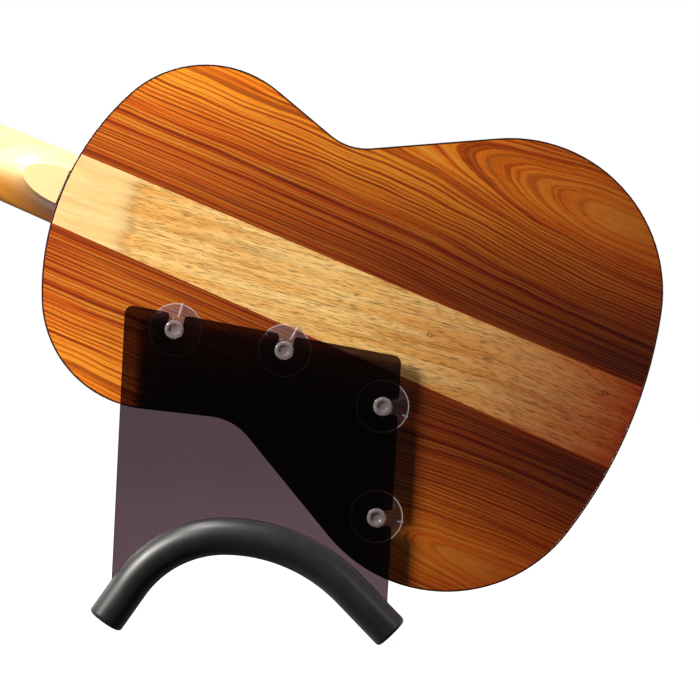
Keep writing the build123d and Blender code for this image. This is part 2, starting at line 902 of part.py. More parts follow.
with BuildPart() as neck:
    loft(sections=[neck_section(body_length, neck_depth_body), neck_section(nut_back_u, neck_depth_nut)])
    heel_levels = (
        (heel_cap_thickness, heel_cap_reach, heel_cap_half_width),
        (body_depth * 0.35, heel_cap_reach * 1.12, heel_cap_half_width * 1.15),
        (body_depth * 0.65, heel_cap_reach * 1.5, heel_cap_half_width * 1.5),
        (body_depth - neck_depth_body * 0.55, heel_cap_reach * 2.6, neck_width_body / 2 - 1.5),
    )
    loft(sections=[heel_section(w, reach, half) for w, reach, half in heel_levels])
    with BuildSketch(level_plane(binding_height)):
        with Locations(((tenon_start_u + body_length) / 2, 0)):
            Rectangle(body_length - tenon_start_u, tenon_width)
    extrude(amount=body_depth - 2 * binding_height)
    with BuildSketch(HEAD):
        add(head_outline())
    extrude(amount=-head_thickness)
    with BuildSketch(HEAD):
        add(head_slots_sketch())
    extrude(amount=-2 * head_thickness, mode=Mode.SUBTRACT)
    add(slot_ramps, mode=Mode.SUBTRACT)
    for side in (-1, 1):
        for x in roller_places:
            bore_plane = side_plane(side, x, head_half_width)
            with BuildSketch(bore_plane):
                Circle(roller_shaft_diameter / 2 + running_clearance)
            extrude(amount=-(head_half_width - head_slot_outer + 1), mode=Mode.SUBTRACT)
            with BuildSketch(bore_plane):
                Circle(roller_pin_diameter / 2 + running_clearance)
            pin_reach = head_half_width - head_slot_inner + roller_pin_length + roller_side_gap
            extrude(amount=-pin_reach, mode=Mode.SUBTRACT)
        for spot in screw_planes(side, head_half_width):
            with BuildSketch(spot):
                Circle(plate_screw_diameter / 2)
            extrude(amount=-(plate_screw_length - tuner_plate_thickness), mode=Mode.SUBTRACT)
save(neck, "neck")

with BuildPart() as heel_cap:
    extrude(heel_section(0, heel_cap_reach, heel_cap_half_width), amount=heel_cap_thickness)
save(heel_cap, "heel_cap")

with BuildPart() as head_veneer:
    with BuildSketch(HEAD):
        add(head_outline())
        add(head_slots_sketch(), mode=Mode.SUBTRACT)
    extrude(amount=head_veneer_thickness)
    add(slot_ramps, mode=Mode.SUBTRACT)
    with BuildSketch(profile_plane(0)):
        with Locations((nut_back_u - nut_length / 2, neck_face + nut_height / 2)):
            Rectangle(nut_length, 2 * nut_height)
    extrude(amount=head_half_width, both=True, mode=Mode.SUBTRACT)
save(head_veneer, "head_veneer")

# ------------------------------------------------------------------ fingerboard, frets and nut
with BuildPart() as fingerboard:
    with BuildSketch(level_plane(neck_face)):
        add(fingerboard_outline())
    extrude(amount=fingerboard_thickness)
    for number in range(1, fret_count + 1):
        with BuildSketch(section_plane(fret_u(number))):
            with Locations((0, neck_face + fingerboard_thickness - fret_tang_depth / 2)):
                Rectangle(2 * neck_width_body, fret_tang_depth + 2 * fret_tang_clearance)
        extrude(amount=fret_tang_width / 2 + fret_tang_clearance, both=True, mode=Mode.SUBTRACT)
save(fingerboard, "fingerboard")

board_face = neck_face + fingerboard_thickness
with BuildPart() as frets:
    for number in range(1, fret_count + 1):
        half = neck_width(fret_u(number)) / 2
        with BuildSketch(profile_plane(0)):
            with BuildLine():
                left = (fret_u(number) - fret_width / 2, board_face)
                right = (fret_u(number) + fret_width / 2, board_face)
                ThreePointArc(left, (fret_u(number), board_face + fret_height), right)
                Line(right, left)
            make_face()
            with Locations((fret_u(number), board_face - fret_tang_depth / 2)):
                Rectangle(fret_tang_width, fret_tang_depth)
        extrude(amount=half - fret_end_inset, both=True)
save(frets, "frets")


def string_v(number, spread):
    """Place of a string across the neck, counted from the treble side."""
    return spread * (number / (len(string_diameters) - 1) - 0.5)


nut_floor_w = board_face + string_height_nut
saddle_top_w = body_depth + saddle_height
tie_hole_w = body_depth + tie_hole_height
bridge_front_u = saddle_u + bridge_ridge_width / 2
bridge_back_u = bridge_front_u - bridge_width


def string_solid(number, extra=0.0):
    """Taut string: through the tie block, over the saddle and nut, to its roller."""
    radius = string_diameters[number] / 2
    rank = number if number < 3 else len(string_diameters) - 1 - number
    side = -1 if number < 3 else 1
    saddle_v = string_v(number, string_spread_saddle)
    nut_v = string_v(number, string_spread_nut)
    over_saddle = saddle_top_w + radius + string_saddle_rise
    over_roller = -roller_depth + roller_diameter / 2 + radius + string_roller_gap
    route = [
        on_guitar(bridge_back_u - string_tail, saddle_v, tie_hole_w),
        on_guitar(bridge_back_u + bridge_tie_width + string_tail, saddle_v, tie_hole_w),
        on_guitar(saddle_u, saddle_v, over_saddle),
        on_guitar(nut_u + nut_length / 2, nut_v, nut_floor_w + radius),
        on_head(roller_places[rank], side * string_roller_offsets[rank], over_roller),
    ]
    with BuildPart() as string:
        with BuildLine() as string_path:
            FilletPolyline(*route, radius=[string_tie_bend, string_saddle_bend, string_nut_bend])
        with BuildSketch(Plane(origin=route[0], z_dir=route[1] - route[0])) as string_section:
            Circle(radius + extra)
        sweep(sections=string_section.sketch, path=string_path.wires()[0])
    return string.part


with BuildPart() as nut:
    with BuildSketch(profile_plane(0)):
        with BuildLine():
            Polyline(
                (nut_u, neck_face),
                (nut_u, neck_face + nut_height),
                (nut_back_u, neck_face + nut_height - 1.4),
                (nut_back_u, neck_face),
                close=True,
            )
        make_face()
    extrude(amount=neck_width(nut_back_u) / 2, both=True)
    for number, diameter in enumerate(string_diameters):
        add(string_solid(number, string_slot_clearance), mode=Mode.SUBTRACT)
        with BuildSketch(section_plane(nut_u)):
            slot_middle = nut_floor_w + diameter / 2 + nut_height / 2
            with Locations((string_v(number, string_spread_nut), slot_middle)):
                Rectangle(diameter + 4 * string_slot_clearance, nut_height)
        extrude(amount=nut_length, both=True, mode=Mode.SUBTRACT)
save(nut, "nut")

# ------------------------------------------------------------------ bridge and saddle
def bridge_span_sketch(start_u, end_u, length):
    """Rectangle across the bridge between two distances from the tail."""
    with BuildSketch() as span:
        with Locations(((start_u + end_u) / 2, 0)):
            Rectangle(end_u - start_u, length)
    return span.sketch


with BuildPart() as bridge:
    with BuildSketch(level_plane(body_depth)):
        add(bridge_span_sketch(bridge_back_u, bridge_front_u, bridge_length))
    extrude(amount=bridge_wing_thickness)
    with BuildSketch(level_plane(body_depth)):
        add(bridge_span_sketch(bridge_back_u, bridge_front_u, bridge_block_length))
    extrude(amount=bridge_block_height)
    channel_start = bridge_back_u + bridge_tie_width
    channel_end = bridge_front_u - bridge_ridge_width
    with BuildSketch(level_plane(body_depth + bridge_channel_height)):
        add(bridge_span_sketch(channel_start, channel_end, bridge_block_length))
    extrude(amount=bridge_block_height, mode=Mode.SUBTRACT)
    slot_floor = body_depth + bridge_block_height - saddle_slot_depth
    with BuildSketch(level_plane(slot_floor)):
        with Locations((saddle_u, 0)):
            Rectangle(saddle_width + 2 * saddle_fit, saddle_length + 2 * saddle_fit)
    extrude(amount=bridge_block_height, mode=Mode.SUBTRACT)
    for number in range(len(string_diameters)):
        with BuildSketch(section_plane(bridge_back_u)):
            with Locations((string_v(number, string_spread_saddle), tie_hole_w)):
                Circle(tie_hole_diameter / 2)
        extrude(amount=bridge_tie_width, mode=Mode.SUBTRACT)
    strip_floor = body_depth + bridge_block_height - tie_strip_depth
    for u in (bridge_back_u + tie_strip_width / 2, channel_start - tie_strip_width / 2):
        with BuildSketch(level_plane(strip_floor)):
            with Locations((u, 0)):
                Rectangle(tie_strip_width, bridge_block_length)
        extrude(amount=tie_strip_depth, mode=Mode.SUBTRACT)
save(bridge, "bridge")

with BuildPart() as tie_block_strips:
    for u in (bridge_back_u + tie_strip_width / 2, channel_start - tie_strip_width / 2):
        with BuildSketch(level_plane(strip_floor)):
            with Locations((u, 0)):
                Rectangle(tie_strip_width, bridge_block_length)
        extrude(amount=tie_strip_depth)
save(tie_block_strips, "tie_block_strips")

with BuildPart() as saddle:
    with BuildSketch(profile_plane(0)):
        with BuildLine():
            left = saddle_u - saddle_width / 2
            right = saddle_u + saddle_width / 2
            crown = saddle_top_w - saddle_width / 2
            Polyline((left, crown), (left, slot_floor), (right, slot_floor), (right, crown))
            ThreePointArc((right, crown), (saddle_u, saddle_top_w), (left, crown))
        make_face()
    extrude(amount=saddle_length / 2, both=True)
save(saddle, "saddle")

# ------------------------------------------------------------------ strings
for name, numbers in (("treble", (0, 1, 2)), ("bass", (3, 4, 5))):
    with BuildPart() as strings:
        for number in numbers:
            add(string_solid(number))
    save(strings, f"{name}_strings")

# ------------------------------------------------------------------ tuners
worm_root_radius = worm_pitch_diameter / 2 - cog_root_depth
worm_tip_radius = worm_pitch_diameter / 2 + cog_tooth_height
plate_outer = head_half_width + tuner_plate_thickness
cog_middle = plate_outer + worm_plate_gap + worm_tip_radius
cog_start = cog_middle - cog_thickness / 2
thread_length = worm_thread_turns * worm_lead
bracket_offset = thread_length / 2 + worm_lead / 2 + worm_bracket_gap
bracket_reach = cog_middle - plate_outer + worm_bracket_rim


def worm_plane(side, x, height):
    """Plane square to a worm, at a height above the roller's axis."""
    origin = on_head(x + worm_offset, side * cog_middle, height - roller_depth)
    return Plane(origin=origin, x_dir=HEAD.x_dir, z_dir=HEAD.z_dir)


for side, name in ((-1, "treble"), (1, "bass")):
    with BuildPart() as tuner_plate:
        middle_x = (tuner_plate_start + tuner_plate_end) / 2
        with BuildSketch(side_plane(side, middle_x, head_half_width)):
            RectangleRounded(tuner_plate_end - tuner_plate_start, tuner_plate_width, 2.0)
        extrude(amount=tuner_plate_thickness)
        for x in roller_places:
            for end in (-1, 1):
                height = end * (bracket_offset + worm_bracket_thickness / 2)
                with BuildSketch(worm_plane(side, x, height)):
                    with Locations((0, side * (plate_outer - cog_middle + bracket_reach / 2))):
                        Rectangle(worm_bracket_width, bracket_reach)
                extrude(amount=worm_bracket_thickness / 2, both=True)
        for x in roller_places:
            with BuildSketch(side_plane(side, x, head_half_width)):
                Circle(roller_shaft_diameter / 2 + running_clearance)
            extrude(amount=tuner_plate_thickness, mode=Mode.SUBTRACT)
            with BuildSketch(worm_plane(side, x, 0)):
                Circle(worm_shaft_diameter / 2 + running_clearance)
            extrude(amount=2 * bracket_offset, both=True, mode=Mode.SUBTRACT)
        for spot in screw_planes(side, head_half_width):
            with BuildSketch(spot):
                Circle(plate_screw_diameter / 2)
            extrude(amount=tuner_plate_thickness, mode=Mode.SUBTRACT)
    save(tuner_plate, f"tuner_plate_{name}")

with BuildPart() as tuner_plate_screws:
    for side in (-1, 1):
        for spot in screw_planes(side, plate_outer):
            with BuildSketch(spot):
                Circle(plate_screw_diameter / 2)
            extrude(amount=-plate_screw_length)
            with BuildSketch(spot):
                Circle(plate_screw_head / 2)
            extrude(amount=plate_screw_head_height)
    heads = tuner_plate_screws.edges().filter_by(GeomType.CIRCLE)
    head_top = plate_outer + plate_screw_head_height
    head_rims = heads.filter_by(
        lambda e: abs(abs(HEAD.to_local_coords(e.arc_center).Y) - head_top) < 0.01
    )
    fillet(head_rims, radius=plate_screw_head_height * 0.6)
save(tuner_plate_screws, "tuner_plate_screws")


def roller_solid(side, x):
    """String roller: pin, barrel, shaft, and the riveted end that holds the cog."""
    steps = (
        (head_slot_inner - roller_pin_length, head_slot_inner + roller_side_gap, roller_pin_diameter),
        (head_slot_inner + roller_side_gap, head_slot_outer - roller_side_gap, roller_diameter),
        (head_slot_outer - roller_side_gap, cog_start, roller_shaft_diameter),
        (cog_start, cog_start + cog_thickness, cog_bore),
        (cog_start + cog_thickness, cog_start + cog_thickness + rivet_height, rivet_diameter),
    )
    with BuildPart() as roller:
        for start, end, diameter in steps:
            with BuildSketch(side_plane(side, x, start)):
                Circle(diameter / 2)
            extrude(amount=end - start)
    return roller.part


def tooth_sketch():
    """One cog tooth, pointing along X from the cog's centre."""
    tip = cog_pitch_radius + cog_tooth_height
    foot = cog_pitch_radius - cog_root_depth - cog_tooth_root_overlap
    with BuildSketch() as tooth:
        with BuildLine():
            Polyline(
                (foot, cog_tooth_root_width / 2),
                (tip, cog_tooth_tip_width / 2),
                (tip, -cog_tooth_tip_width / 2),
                (foot, -cog_tooth_root_width / 2),
                close=True,
            )
        make_face()
    return tooth.sketch


def cog_solid(side, x):
    """Cog wheel with a gap between two teeth facing its worm."""
    with BuildPart() as cog:
        with BuildSketch(side_plane(side, x, cog_start)):
            Circle(cog_pitch_radius - cog_root_depth)
            with PolarLocations(0, cog_teeth, start_angle=180 / cog_teeth):
                add(tooth_sketch())
            Circle(cog_bore / 2, mode=Mode.SUBTRACT)
        extrude(amount=cog_thickness)
    return cog.part


def thread_solid():
    """Worm thread about the Z axis, halfway along it at the -X side when z is 0."""
    start_angle = 180 - 180 * worm_thread_turns
    with BuildPart() as thread:
        with BuildLine() as helix:
            Helix(worm_lead, thread_length, worm_root_radius, center=(0, 0, -thread_length / 2))
        start = helix.edges()[0] @ 0
        with BuildSketch(Plane(start, x_dir=(1, 0, 0), z_dir=helix.edges()[0] % 0)) as section:
            with BuildLine():
                height = worm_tip_radius - worm_root_radius
                Polyline(
                    (-thread_root_overlap, worm_thread_root_width / 2),
                    (height, worm_thread_tip_width / 2),
                    (height, -worm_thread_tip_width / 2),
                    (-thread_root_overlap, -worm_thread_root_width / 2),
                    close=True,
                )
            make_face()
        sweep(sections=section.sketch, path=helix.wires()[0], is_frenet=True)
    return thread.part.rotate(Axis.Z, start_angle)


worm_thread = thread_solid()


def worm_solid(side, x):
    """Worm with its shaft, retained at the front and reaching into its button at the back."""
    front = bracket_offset + worm_bracket_thickness + worm_bracket_gap
    shaft_back = roller_depth - head_thickness - button_gap - button_length * button_grip
    with BuildPart() as worm:
        with BuildSketch(worm_plane(side, x, shaft_back)):
            Circle(worm_shaft_diameter / 2)
        extrude(amount=front - shaft_back)
        with BuildSketch(worm_plane(side, x, -bracket_offset + worm_bracket_gap)):
            Circle(worm_root_radius)
        extrude(amount=2 * (bracket_offset - worm_bracket_gap))
        with BuildSketch(worm_plane(side, x, front)):
            Circle(worm_cap_diameter / 2)
        extrude(amount=worm_cap_thickness)
        add(worm_thread.moved(worm_plane(side, x, 0).location))
    return worm.part


def button_solid(side, x):
    """Oval button on the end of a worm's shaft."""
    start = roller_depth - head_thickness - button_gap
    with BuildPart() as button:
        with BuildSketch(worm_plane(side, x, start)):
            Circle(button_thickness * 0.42)
        extrude(amount=-button_length * 0.3)
        with BuildSketch(worm_plane(side, x, start - button_length * 0.2)):
            SlotOverall(button_width, button_thickness)
        extrude(amount=-button_length * 0.8)
        rim = button.faces().sort_by(Axis(HEAD.origin, HEAD.z_dir))[0].edges()
        fillet(rim, radius=button_thickness * 0.3)
        with BuildSketch(worm_plane(side, x, start)):
            Circle(worm_shaft_diameter / 2)
        extrude(amount=-button_length * button_grip, mode=Mode.SUBTRACT)
    return button.part


tuner_number = 0
for side in (-1, 1):
    for x in roller_places:
        tuner_number += 1
        pieces = (
            ("string_roller", roller_solid(side, x)),
            ("tuner_cog", cog_solid(side, x)),
            ("tuner_worm", worm_solid(side, x)),
            ("tuner_button", button_solid(side, x)),
        )
        for name, solid in pieces:
            solid.label = f"{name}_{tuner_number}"
            export_step(solid, f"parts/{name}_{tuner_number}.step")
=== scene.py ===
import json
import math
from functools import partial

import bmesh
import bpy
import numpy as np
from bpy.props import FloatProperty, FloatVectorProperty, PointerProperty
from bpy.types import Operator, Panel, PropertyGroup
from mathutils import Matrix, Vector

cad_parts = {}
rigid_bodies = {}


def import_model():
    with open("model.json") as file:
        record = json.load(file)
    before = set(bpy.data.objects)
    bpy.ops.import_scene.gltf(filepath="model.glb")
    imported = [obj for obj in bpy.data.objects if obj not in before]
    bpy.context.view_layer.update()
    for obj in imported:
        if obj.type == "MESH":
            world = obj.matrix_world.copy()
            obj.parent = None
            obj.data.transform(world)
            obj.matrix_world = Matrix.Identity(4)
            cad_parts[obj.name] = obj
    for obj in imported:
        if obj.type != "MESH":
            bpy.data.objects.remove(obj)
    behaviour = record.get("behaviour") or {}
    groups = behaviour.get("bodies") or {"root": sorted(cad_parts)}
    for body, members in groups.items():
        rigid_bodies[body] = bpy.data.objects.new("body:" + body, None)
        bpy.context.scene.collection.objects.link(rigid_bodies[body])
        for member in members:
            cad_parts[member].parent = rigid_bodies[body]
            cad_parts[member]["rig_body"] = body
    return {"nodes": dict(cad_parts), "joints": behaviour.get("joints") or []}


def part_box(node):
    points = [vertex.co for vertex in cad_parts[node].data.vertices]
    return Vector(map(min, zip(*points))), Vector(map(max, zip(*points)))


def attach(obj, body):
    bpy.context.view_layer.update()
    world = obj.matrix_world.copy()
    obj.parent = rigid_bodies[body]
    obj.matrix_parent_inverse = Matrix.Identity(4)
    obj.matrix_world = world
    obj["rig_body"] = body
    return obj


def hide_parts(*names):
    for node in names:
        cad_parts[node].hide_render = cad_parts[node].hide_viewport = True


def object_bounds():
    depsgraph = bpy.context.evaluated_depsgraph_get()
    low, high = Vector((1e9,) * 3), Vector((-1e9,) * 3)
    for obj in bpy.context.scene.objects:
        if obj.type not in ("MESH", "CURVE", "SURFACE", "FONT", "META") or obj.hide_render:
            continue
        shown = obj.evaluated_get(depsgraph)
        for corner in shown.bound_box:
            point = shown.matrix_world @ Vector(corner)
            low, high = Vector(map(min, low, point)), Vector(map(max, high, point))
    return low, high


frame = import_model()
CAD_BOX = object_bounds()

bl_info = {
    "name": "Guitar on a thigh rest",
    "version": (1, 0, 0),
    "blender": (4, 5, 0),
    "location": "3D View > Sidebar > Guitar rest",
    "description": "Surfaces and finishes of a classical guitar held by a clear plate with a foam arch",
    "category": "Object",
}

MM = 0.001
EDGE_ANGLE = 32  # degrees from which a CAD edge is broken by a bevel


# ------------------------------------------------------------------ directions and places, from the frame
def axis_of(joint):
    """Direction of a joint of the frame."""
    return Vector(next(j["axis"] for j in frame["joints"] if j["name"] == joint)).normalized()


def points_of(node):
    """Points of a CAD node as an array."""
    mesh = frame["nodes"][node].data
    flat = np.empty(len(mesh.vertices) * 3)
    mesh.vertices.foreach_get("co", flat)
    return flat.reshape(-1, 3)


def span(node, direction):
    """Lowest and highest distance of a CAD node's points along a direction."""
    reach = points_of(node) @ np.array(direction)
    return float(reach.min()), float(reach.max())


def middle(node, direction):
    """Middle of a CAD node along a direction."""
    return sum(span(node, direction)) / 2


DEPTH = Vector((0, 1, 0))
ACROSS = axis_of("roller_1_turn")
ALONG = ACROSS.cross(DEPTH)
CENTRE = middle("bindings", ACROSS)
TAIL = ALONG * span("bindings", ALONG)[0] + ACROSS * CENTRE + DEPTH * span("bindings", DEPTH)[0]
HEAD_UP = axis_of("knob_1_turn")
HEAD_ALONG = ACROSS.cross(HEAD_UP)
NUT_BACK = ALONG * span("nut", ALONG)[1] + ACROSS * CENTRE + DEPTH * span("nut", DEPTH)[0]


def on_guitar(places):
    """Row-frame points of guitar places: distance from the tail, across, and in from the back's face."""
    return np.array(TAIL) + np.asarray(places) @ np.array([ALONG, ACROSS, DEPTH])


def on_head(places):
    """Row-frame points of head places: distance from the nut, across, and up from the head's wood."""
    return np.array(NUT_BACK) + np.asarray(places) @ np.array([HEAD_ALONG, ACROSS, HEAD_UP])


# ------------------------------------------------------------------ colours
def linear(hex_colour):
    """Linear colour of an sRGB hex value."""
    parts = [int(hex_colour[i:i + 2], 16) / 255 for i in (1, 3, 5)]
    return [p / 12.92 if p <= 0.04045 else ((p + 0.055) / 1.055) ** 2.4 for p in parts]


def colour_property(name, description, hex_colour):
    """A colour that the user can change, from its sRGB hex value."""
    return FloatVectorProperty(name=name, description=description, subtype="COLOR",
                               min=0, max=1, default=linear(hex_colour))


def length_property(name, description, millimetres):
    """A length that the user can change, from its value in millimetres."""
    return FloatProperty(name=name, description=description, unit="LENGTH",
                         precision=5, min=0, default=millimetres * MM)


def angle_property(name, description, degrees):
    """An angle that the user can change, from its value in degrees."""
    return FloatProperty(name=name, description=description, subtype="ANGLE",
                         default=math.radians(degrees))


def solid(colour):
    """A colour with full alpha, as sockets and ramps take it."""
    return (*colour[:3], 1.0)


def dimmer(colour, share):
    """A colour at a share of its strength."""
    return [part * share for part in colour[:3]]


class WoodSettings(PropertyGroup):
    """Sizes and colours of the guitar's woods."""

    back_line: colour_property("Back, dark line", "Latewood lines of the back panels", "#862E06")
    back_red: colour_property("Back, red brown", "Wood beside the dark lines of the back panels", "#E87410")
    back_body: colour_property("Back, body", "Body colour of the back panels", "#FF9C22")
    back_bright: colour_property("Back, bright streak", "Bright streaks of the back panels", "#FFB640")
    # painted shade: the next three tints darken the back beside the seams and towards the tail
    back_seam: colour_property("Back, seam shade", "Tint of the back beside the seams", "#C8A8A6")
    back_deep: colour_property("Back, tail shade", "Tint of the back towards the tail", "#A27C82")
    seam_deep: colour_property("Back, seam at the tail", "Tint where the seams near the tail", "#AAAAAA")
    side_shade: colour_property("Sides, shade", "Tint of the sides against the back", "#AE8458")
    # painted shade: darkens the centre strip towards the tail
    strip_deep: colour_property("Centre strip, tail shade", "Tint of the centre strip towards the tail", "#9C4A2C")
    band: length_property("Growth band", "Distance between strong lines of the back panels", 4.4)
    fine_band: length_property("Fine band", "Distance between fine lines of the back panels", 1.3)
    pith: length_property("Pith distance", "Distance of the cathedral figure from the centreline", 150)
    strip_light: colour_property("Centre strip, light", "Light wood of the centre strip", "#FBD082")
    strip_body: colour_property("Centre strip, body", "Body colour of the centre strip", "#EEAE58")
    # colour of a paler stretch of the centre strip near the neck; also the heel cap's light colour
    strip_smooth: colour_property("Centre strip, smooth", "Close-grained stretch of the centre strip", "#FADA9C")
    strip_pore: colour_property("Centre strip, pores", "Pore dashes of the centre strip", "#7E4A1A")
    strip_tail: length_property("Strip half width, tail", "Half width of the centre strip at the tail", 34.0)
    strip_neck: length_property("Strip half width, neck", "Half width of the centre strip at the neck", 29.7)
    body_length: length_property("Body length", "Length of the body", 488)
    spruce_light: colour_property("Spruce, early wood", "Wide pale part of the top's grain", "#F0D39B")
    spruce_line: colour_property("Spruce, late wood", "Fine amber lines of the top's grain", "#CF9A57")
    spruce_grain: length_property("Spruce grain", "Distance between the lines of the top", 1.5)
    neck_light: colour_property("Neck, light", "Pale wood of the neck", "#ECD09A")
    neck_body: colour_property("Neck, body", "Darker streaks of the neck", "#E7C685")
    # painted shade: amber of the neck's shaded lower side
    neck_amber: colour_property("Neck, amber", "Yellowed finish on the neck's underside", "#E89A38")
    neck_stain: colour_property("Neck, stain", "Tint of the neck at the head", "#BFAD95")
    bridge_body: colour_property("Rosewood, body", "Body colour of the bridge and head veneer", "#4A2414")
    bridge_line: colour_property("Rosewood, lines", "Dark lines of the bridge and head veneer", "#1C0C07")
    ebony_body: colour_property("Ebony", "Colour of the fingerboard", "#17110E")
    trim: colour_property("Edge trim", "Colour of the dark edge binding", "#431A0B")


class FittingSettings(PropertyGroup):
    """Sizes and colours of strings, tuners and small fittings."""

    bone: colour_property("Bone", "Nut, saddle and tie strips", "#EFE6CF")
    nickel: colour_property("Nickel silver", "Frets", "#C9C4B8")
    brass: colour_property("Gilt brass", "Tuner plates, screws and gears", "#D8AE5C")
    nylon: colour_property("Nylon", "Treble strings", "#E9EDEA")
    wire: colour_property("Silvered wire", "Winding of the bass strings", "#C9CBD0")
    pearl: colour_property("Pearl", "Tuner buttons", "#ECE4D2")
    roller: colour_property("Roller", "Moulded string rollers", "#EDE9DC")
    winding: length_property("Winding pitch", "Distance between turns of wire on a bass string", 0.45)
    tie_hole: length_property("Tie hole height", "Height of the tie holes over the top", 5.5)
    block_top: length_property("Tie block height", "Height of the tie block over the top", 8.5)
    block_length: length_property("Tie block length", "Length of the tie block along the strings", 11)
    roller_radius: length_property("Roller radius", "Radius of a roller's barrel", 5)


class RestSettings(PropertyGroup):
    """Sizes and colours of the plate, foam arch and suction cups."""

    foam: colour_property("Foam", "Black foam rubber", "#1C1A19")
    foam_radius: length_property("Foam radius", "Radius of the foam sleeve", 15)
    foam_bore: length_property("Foam bore", "Radius of the sleeve's bore", 3)
    foam_slit: length_property("Slit half width", "Half width of the slit that takes the plate", 2.55)
    foam_end: length_property("End rounding", "Rounding of the sleeve's ends", 3)
    left_radius: length_property("Left radius", "Radius of the arch left of its crown", 91)
    left_turn: angle_property("Left turn", "Turn of the arch left of its crown", 54.7)
    left_run: length_property("Left run", "Straight run at the arch's left end", 34.8)
    right_radius: length_property("Right radius", "Radius of the arch right of its crown", 137.2)
    right_turn: angle_property("Right turn", "Turn of the arch right of its crown", 46)
    right_run: length_property("Right run", "Straight run at the arch's right end", 48.1)
    plate_tint: colour_property("Plate tint", "Share of light that passes each face of the smoked plate", "#95868B")
    plate_edge: length_property("Plate edge", "Width of the plate's polished edge break", 0.4)
    # this clear colour also colours the painted glow at the cups' rims
    cup_clear: colour_property("Cup, clear", "Light that passes the clear vinyl", "#F2F0EF")
    cup_milk: colour_property("Cup, milky", "Haze of the thick vinyl", "#CDBEC0")
    cup_head: length_property("Cup head radius", "Radius of a cup's head", 7.5)
    cup_neck: length_property("Cup neck radius", "Radius of a cup's neck", 5.7)
    cup_disc: length_property("Cup disc radius", "Radius of a cup's disc", 21)


class StageSettings(PropertyGroup):
    """The floor, the lights and the camera."""

    floor: colour_property("Floor", "Colour of the pale floor", "#F4F2EF")
    floor_half: FloatProperty(name="Floor half size", description="Half the floor's side", unit="LENGTH",
                              default=6.0)
    floor_lit: FloatProperty(name="Floor, lamp share", description="Share of lamp light that the floor gives back",
                             default=0.25)
    floor_glow: FloatProperty(name="Floor, own light", description="Strength of the floor's even light",
                              default=1.06)
    camera_x: FloatProperty(name="Camera across", description="Camera's place along X", unit="LENGTH",
                            default=0.0991)
    camera_z: FloatProperty(name="Camera height", description="Camera's height", unit="LENGTH", default=0.1618)
    camera_reach: FloatProperty(name="Camera distance", description="Distance from the camera to the back",
                                unit="LENGTH", default=2.004)
    lens: FloatProperty(name="Lens", description="Focal length in millimetres", default=130.0)
    key: FloatProperty(name="Key light", description="Strength of the main light", unit="POWER", default=37.0)
    fill: FloatProperty(name="Fill light", description="Strength of the soft front light", unit="POWER",
                        default=5.0)
    top: FloatProperty(name="Top light", description="Strength of the light over the arch", unit="POWER",
                       default=11.0)
    rear: FloatProperty(name="Rear light", description="Strength of the lights behind", unit="POWER", default=30.0)


# ------------------------------------------------------------------ meshes
def grid_faces(rows, columns, wrap=False):
    """Quads of a grid of points, row after row; wrap joins each row's last point to its first."""
    row = np.arange(rows - 1)[:, None]
    column = np.arange(columns if wrap else columns - 1)[None, :]
    after = (column + 1) % columns
    quads = [row * columns + column, row * columns + after,
             (row + 1) * columns + after, (row + 1) * columns + column]
    return np.stack(np.broadcast_arrays(*quads), -1).reshape(-1, 4).tolist()


def make_piece(name, points, faces, material, marks=None, crease=35.0):
    """A mesh object from arrays: doubles merged, faces turned outwards, smooth up to a crease angle."""
    mesh = bpy.data.meshes.new(name)
    mesh.from_pydata(np.asarray(points, float).reshape(-1, 3).tolist(), [], faces)
    for mark, values in (marks or {}).items():
        mesh.attributes.new(mark, "FLOAT", "POINT").data.foreach_set("value", np.ravel(values).astype(np.float32))
    work = bmesh.new()
    work.from_mesh(mesh)
    bmesh.ops.remove_doubles(work, verts=work.verts, dist=1e-7)
    bmesh.ops.dissolve_degenerate(work, edges=work.edges, dist=1e-7)
    bmesh.ops.recalc_face_normals(work, faces=work.faces)
    work.to_mesh(mesh)
    work.free()
    mesh.shade_smooth()
    mesh.set_sharp_from_angle(angle=math.radians(crease))
    made = bpy.data.objects.new(name, mesh)
    bpy.context.scene.collection.objects.link(made)
    mesh.materials.append(material)
    return made


def edged_copy(node, name, width, material):
    """A copy of a CAD node with its triangles merged into faces and its edges broken by a small bevel."""
    source = frame["nodes"][node]
    mesh = bpy.data.meshes.new(name)
    faces = [tuple(p.vertices) for p in source.data.polygons]
    mesh.from_pydata(points_of(node).tolist(), [], faces)
    work = bmesh.new()
    work.from_mesh(mesh)
    bmesh.ops.remove_doubles(work, verts=work.verts, dist=2e-6)
    bmesh.ops.dissolve_degenerate(work, edges=work.edges, dist=1e-6)
    bmesh.ops.dissolve_limit(work, angle_limit=math.radians(0.4), verts=work.verts, edges=work.edges)
    work.to_mesh(mesh)
    work.free()
    mesh.shade_smooth()
    mesh.set_sharp_from_angle(angle=math.radians(EDGE_ANGLE))
    mesh.materials.append(material)
    made = bpy.data.objects.new(name, mesh)
    bpy.context.scene.collection.objects.link(made)
    bevel = made.modifiers.new("edge", "BEVEL")
    bevel.width, bevel.segments, bevel.limit_method = width, 2, "ANGLE"
    bevel.angle_limit, bevel.use_clamp_overlap, bevel.harden_normals = math.radians(EDGE_ANGLE), True, True
    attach(made, source["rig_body"])
    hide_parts(node)
    return made


def smooth_route(points, steps):
    """Catmull-Rom curve through a route's points: each span is a cubic whose slope at a point is half the
    step between its neighbours."""
    p = np.asarray(points, float)
    p = np.vstack([2 * p[0] - p[1], p, 2 * p[-1] - p[-2]])
    t = np.linspace(0, 1, steps, endpoint=False)[None, :, None]
    a, b, c, d = (p[i:len(p) - 3 + i][:, None, :] for i in range(4))
    curve = 0.5 * (2 * b + (c - a) * t + (2 * a - 5 * b + 4 * c - d) * t**2 + (3 * b - a - 3 * c + d) * t**3)
    return np.vstack([curve.reshape(-1, 3), p[-2]])


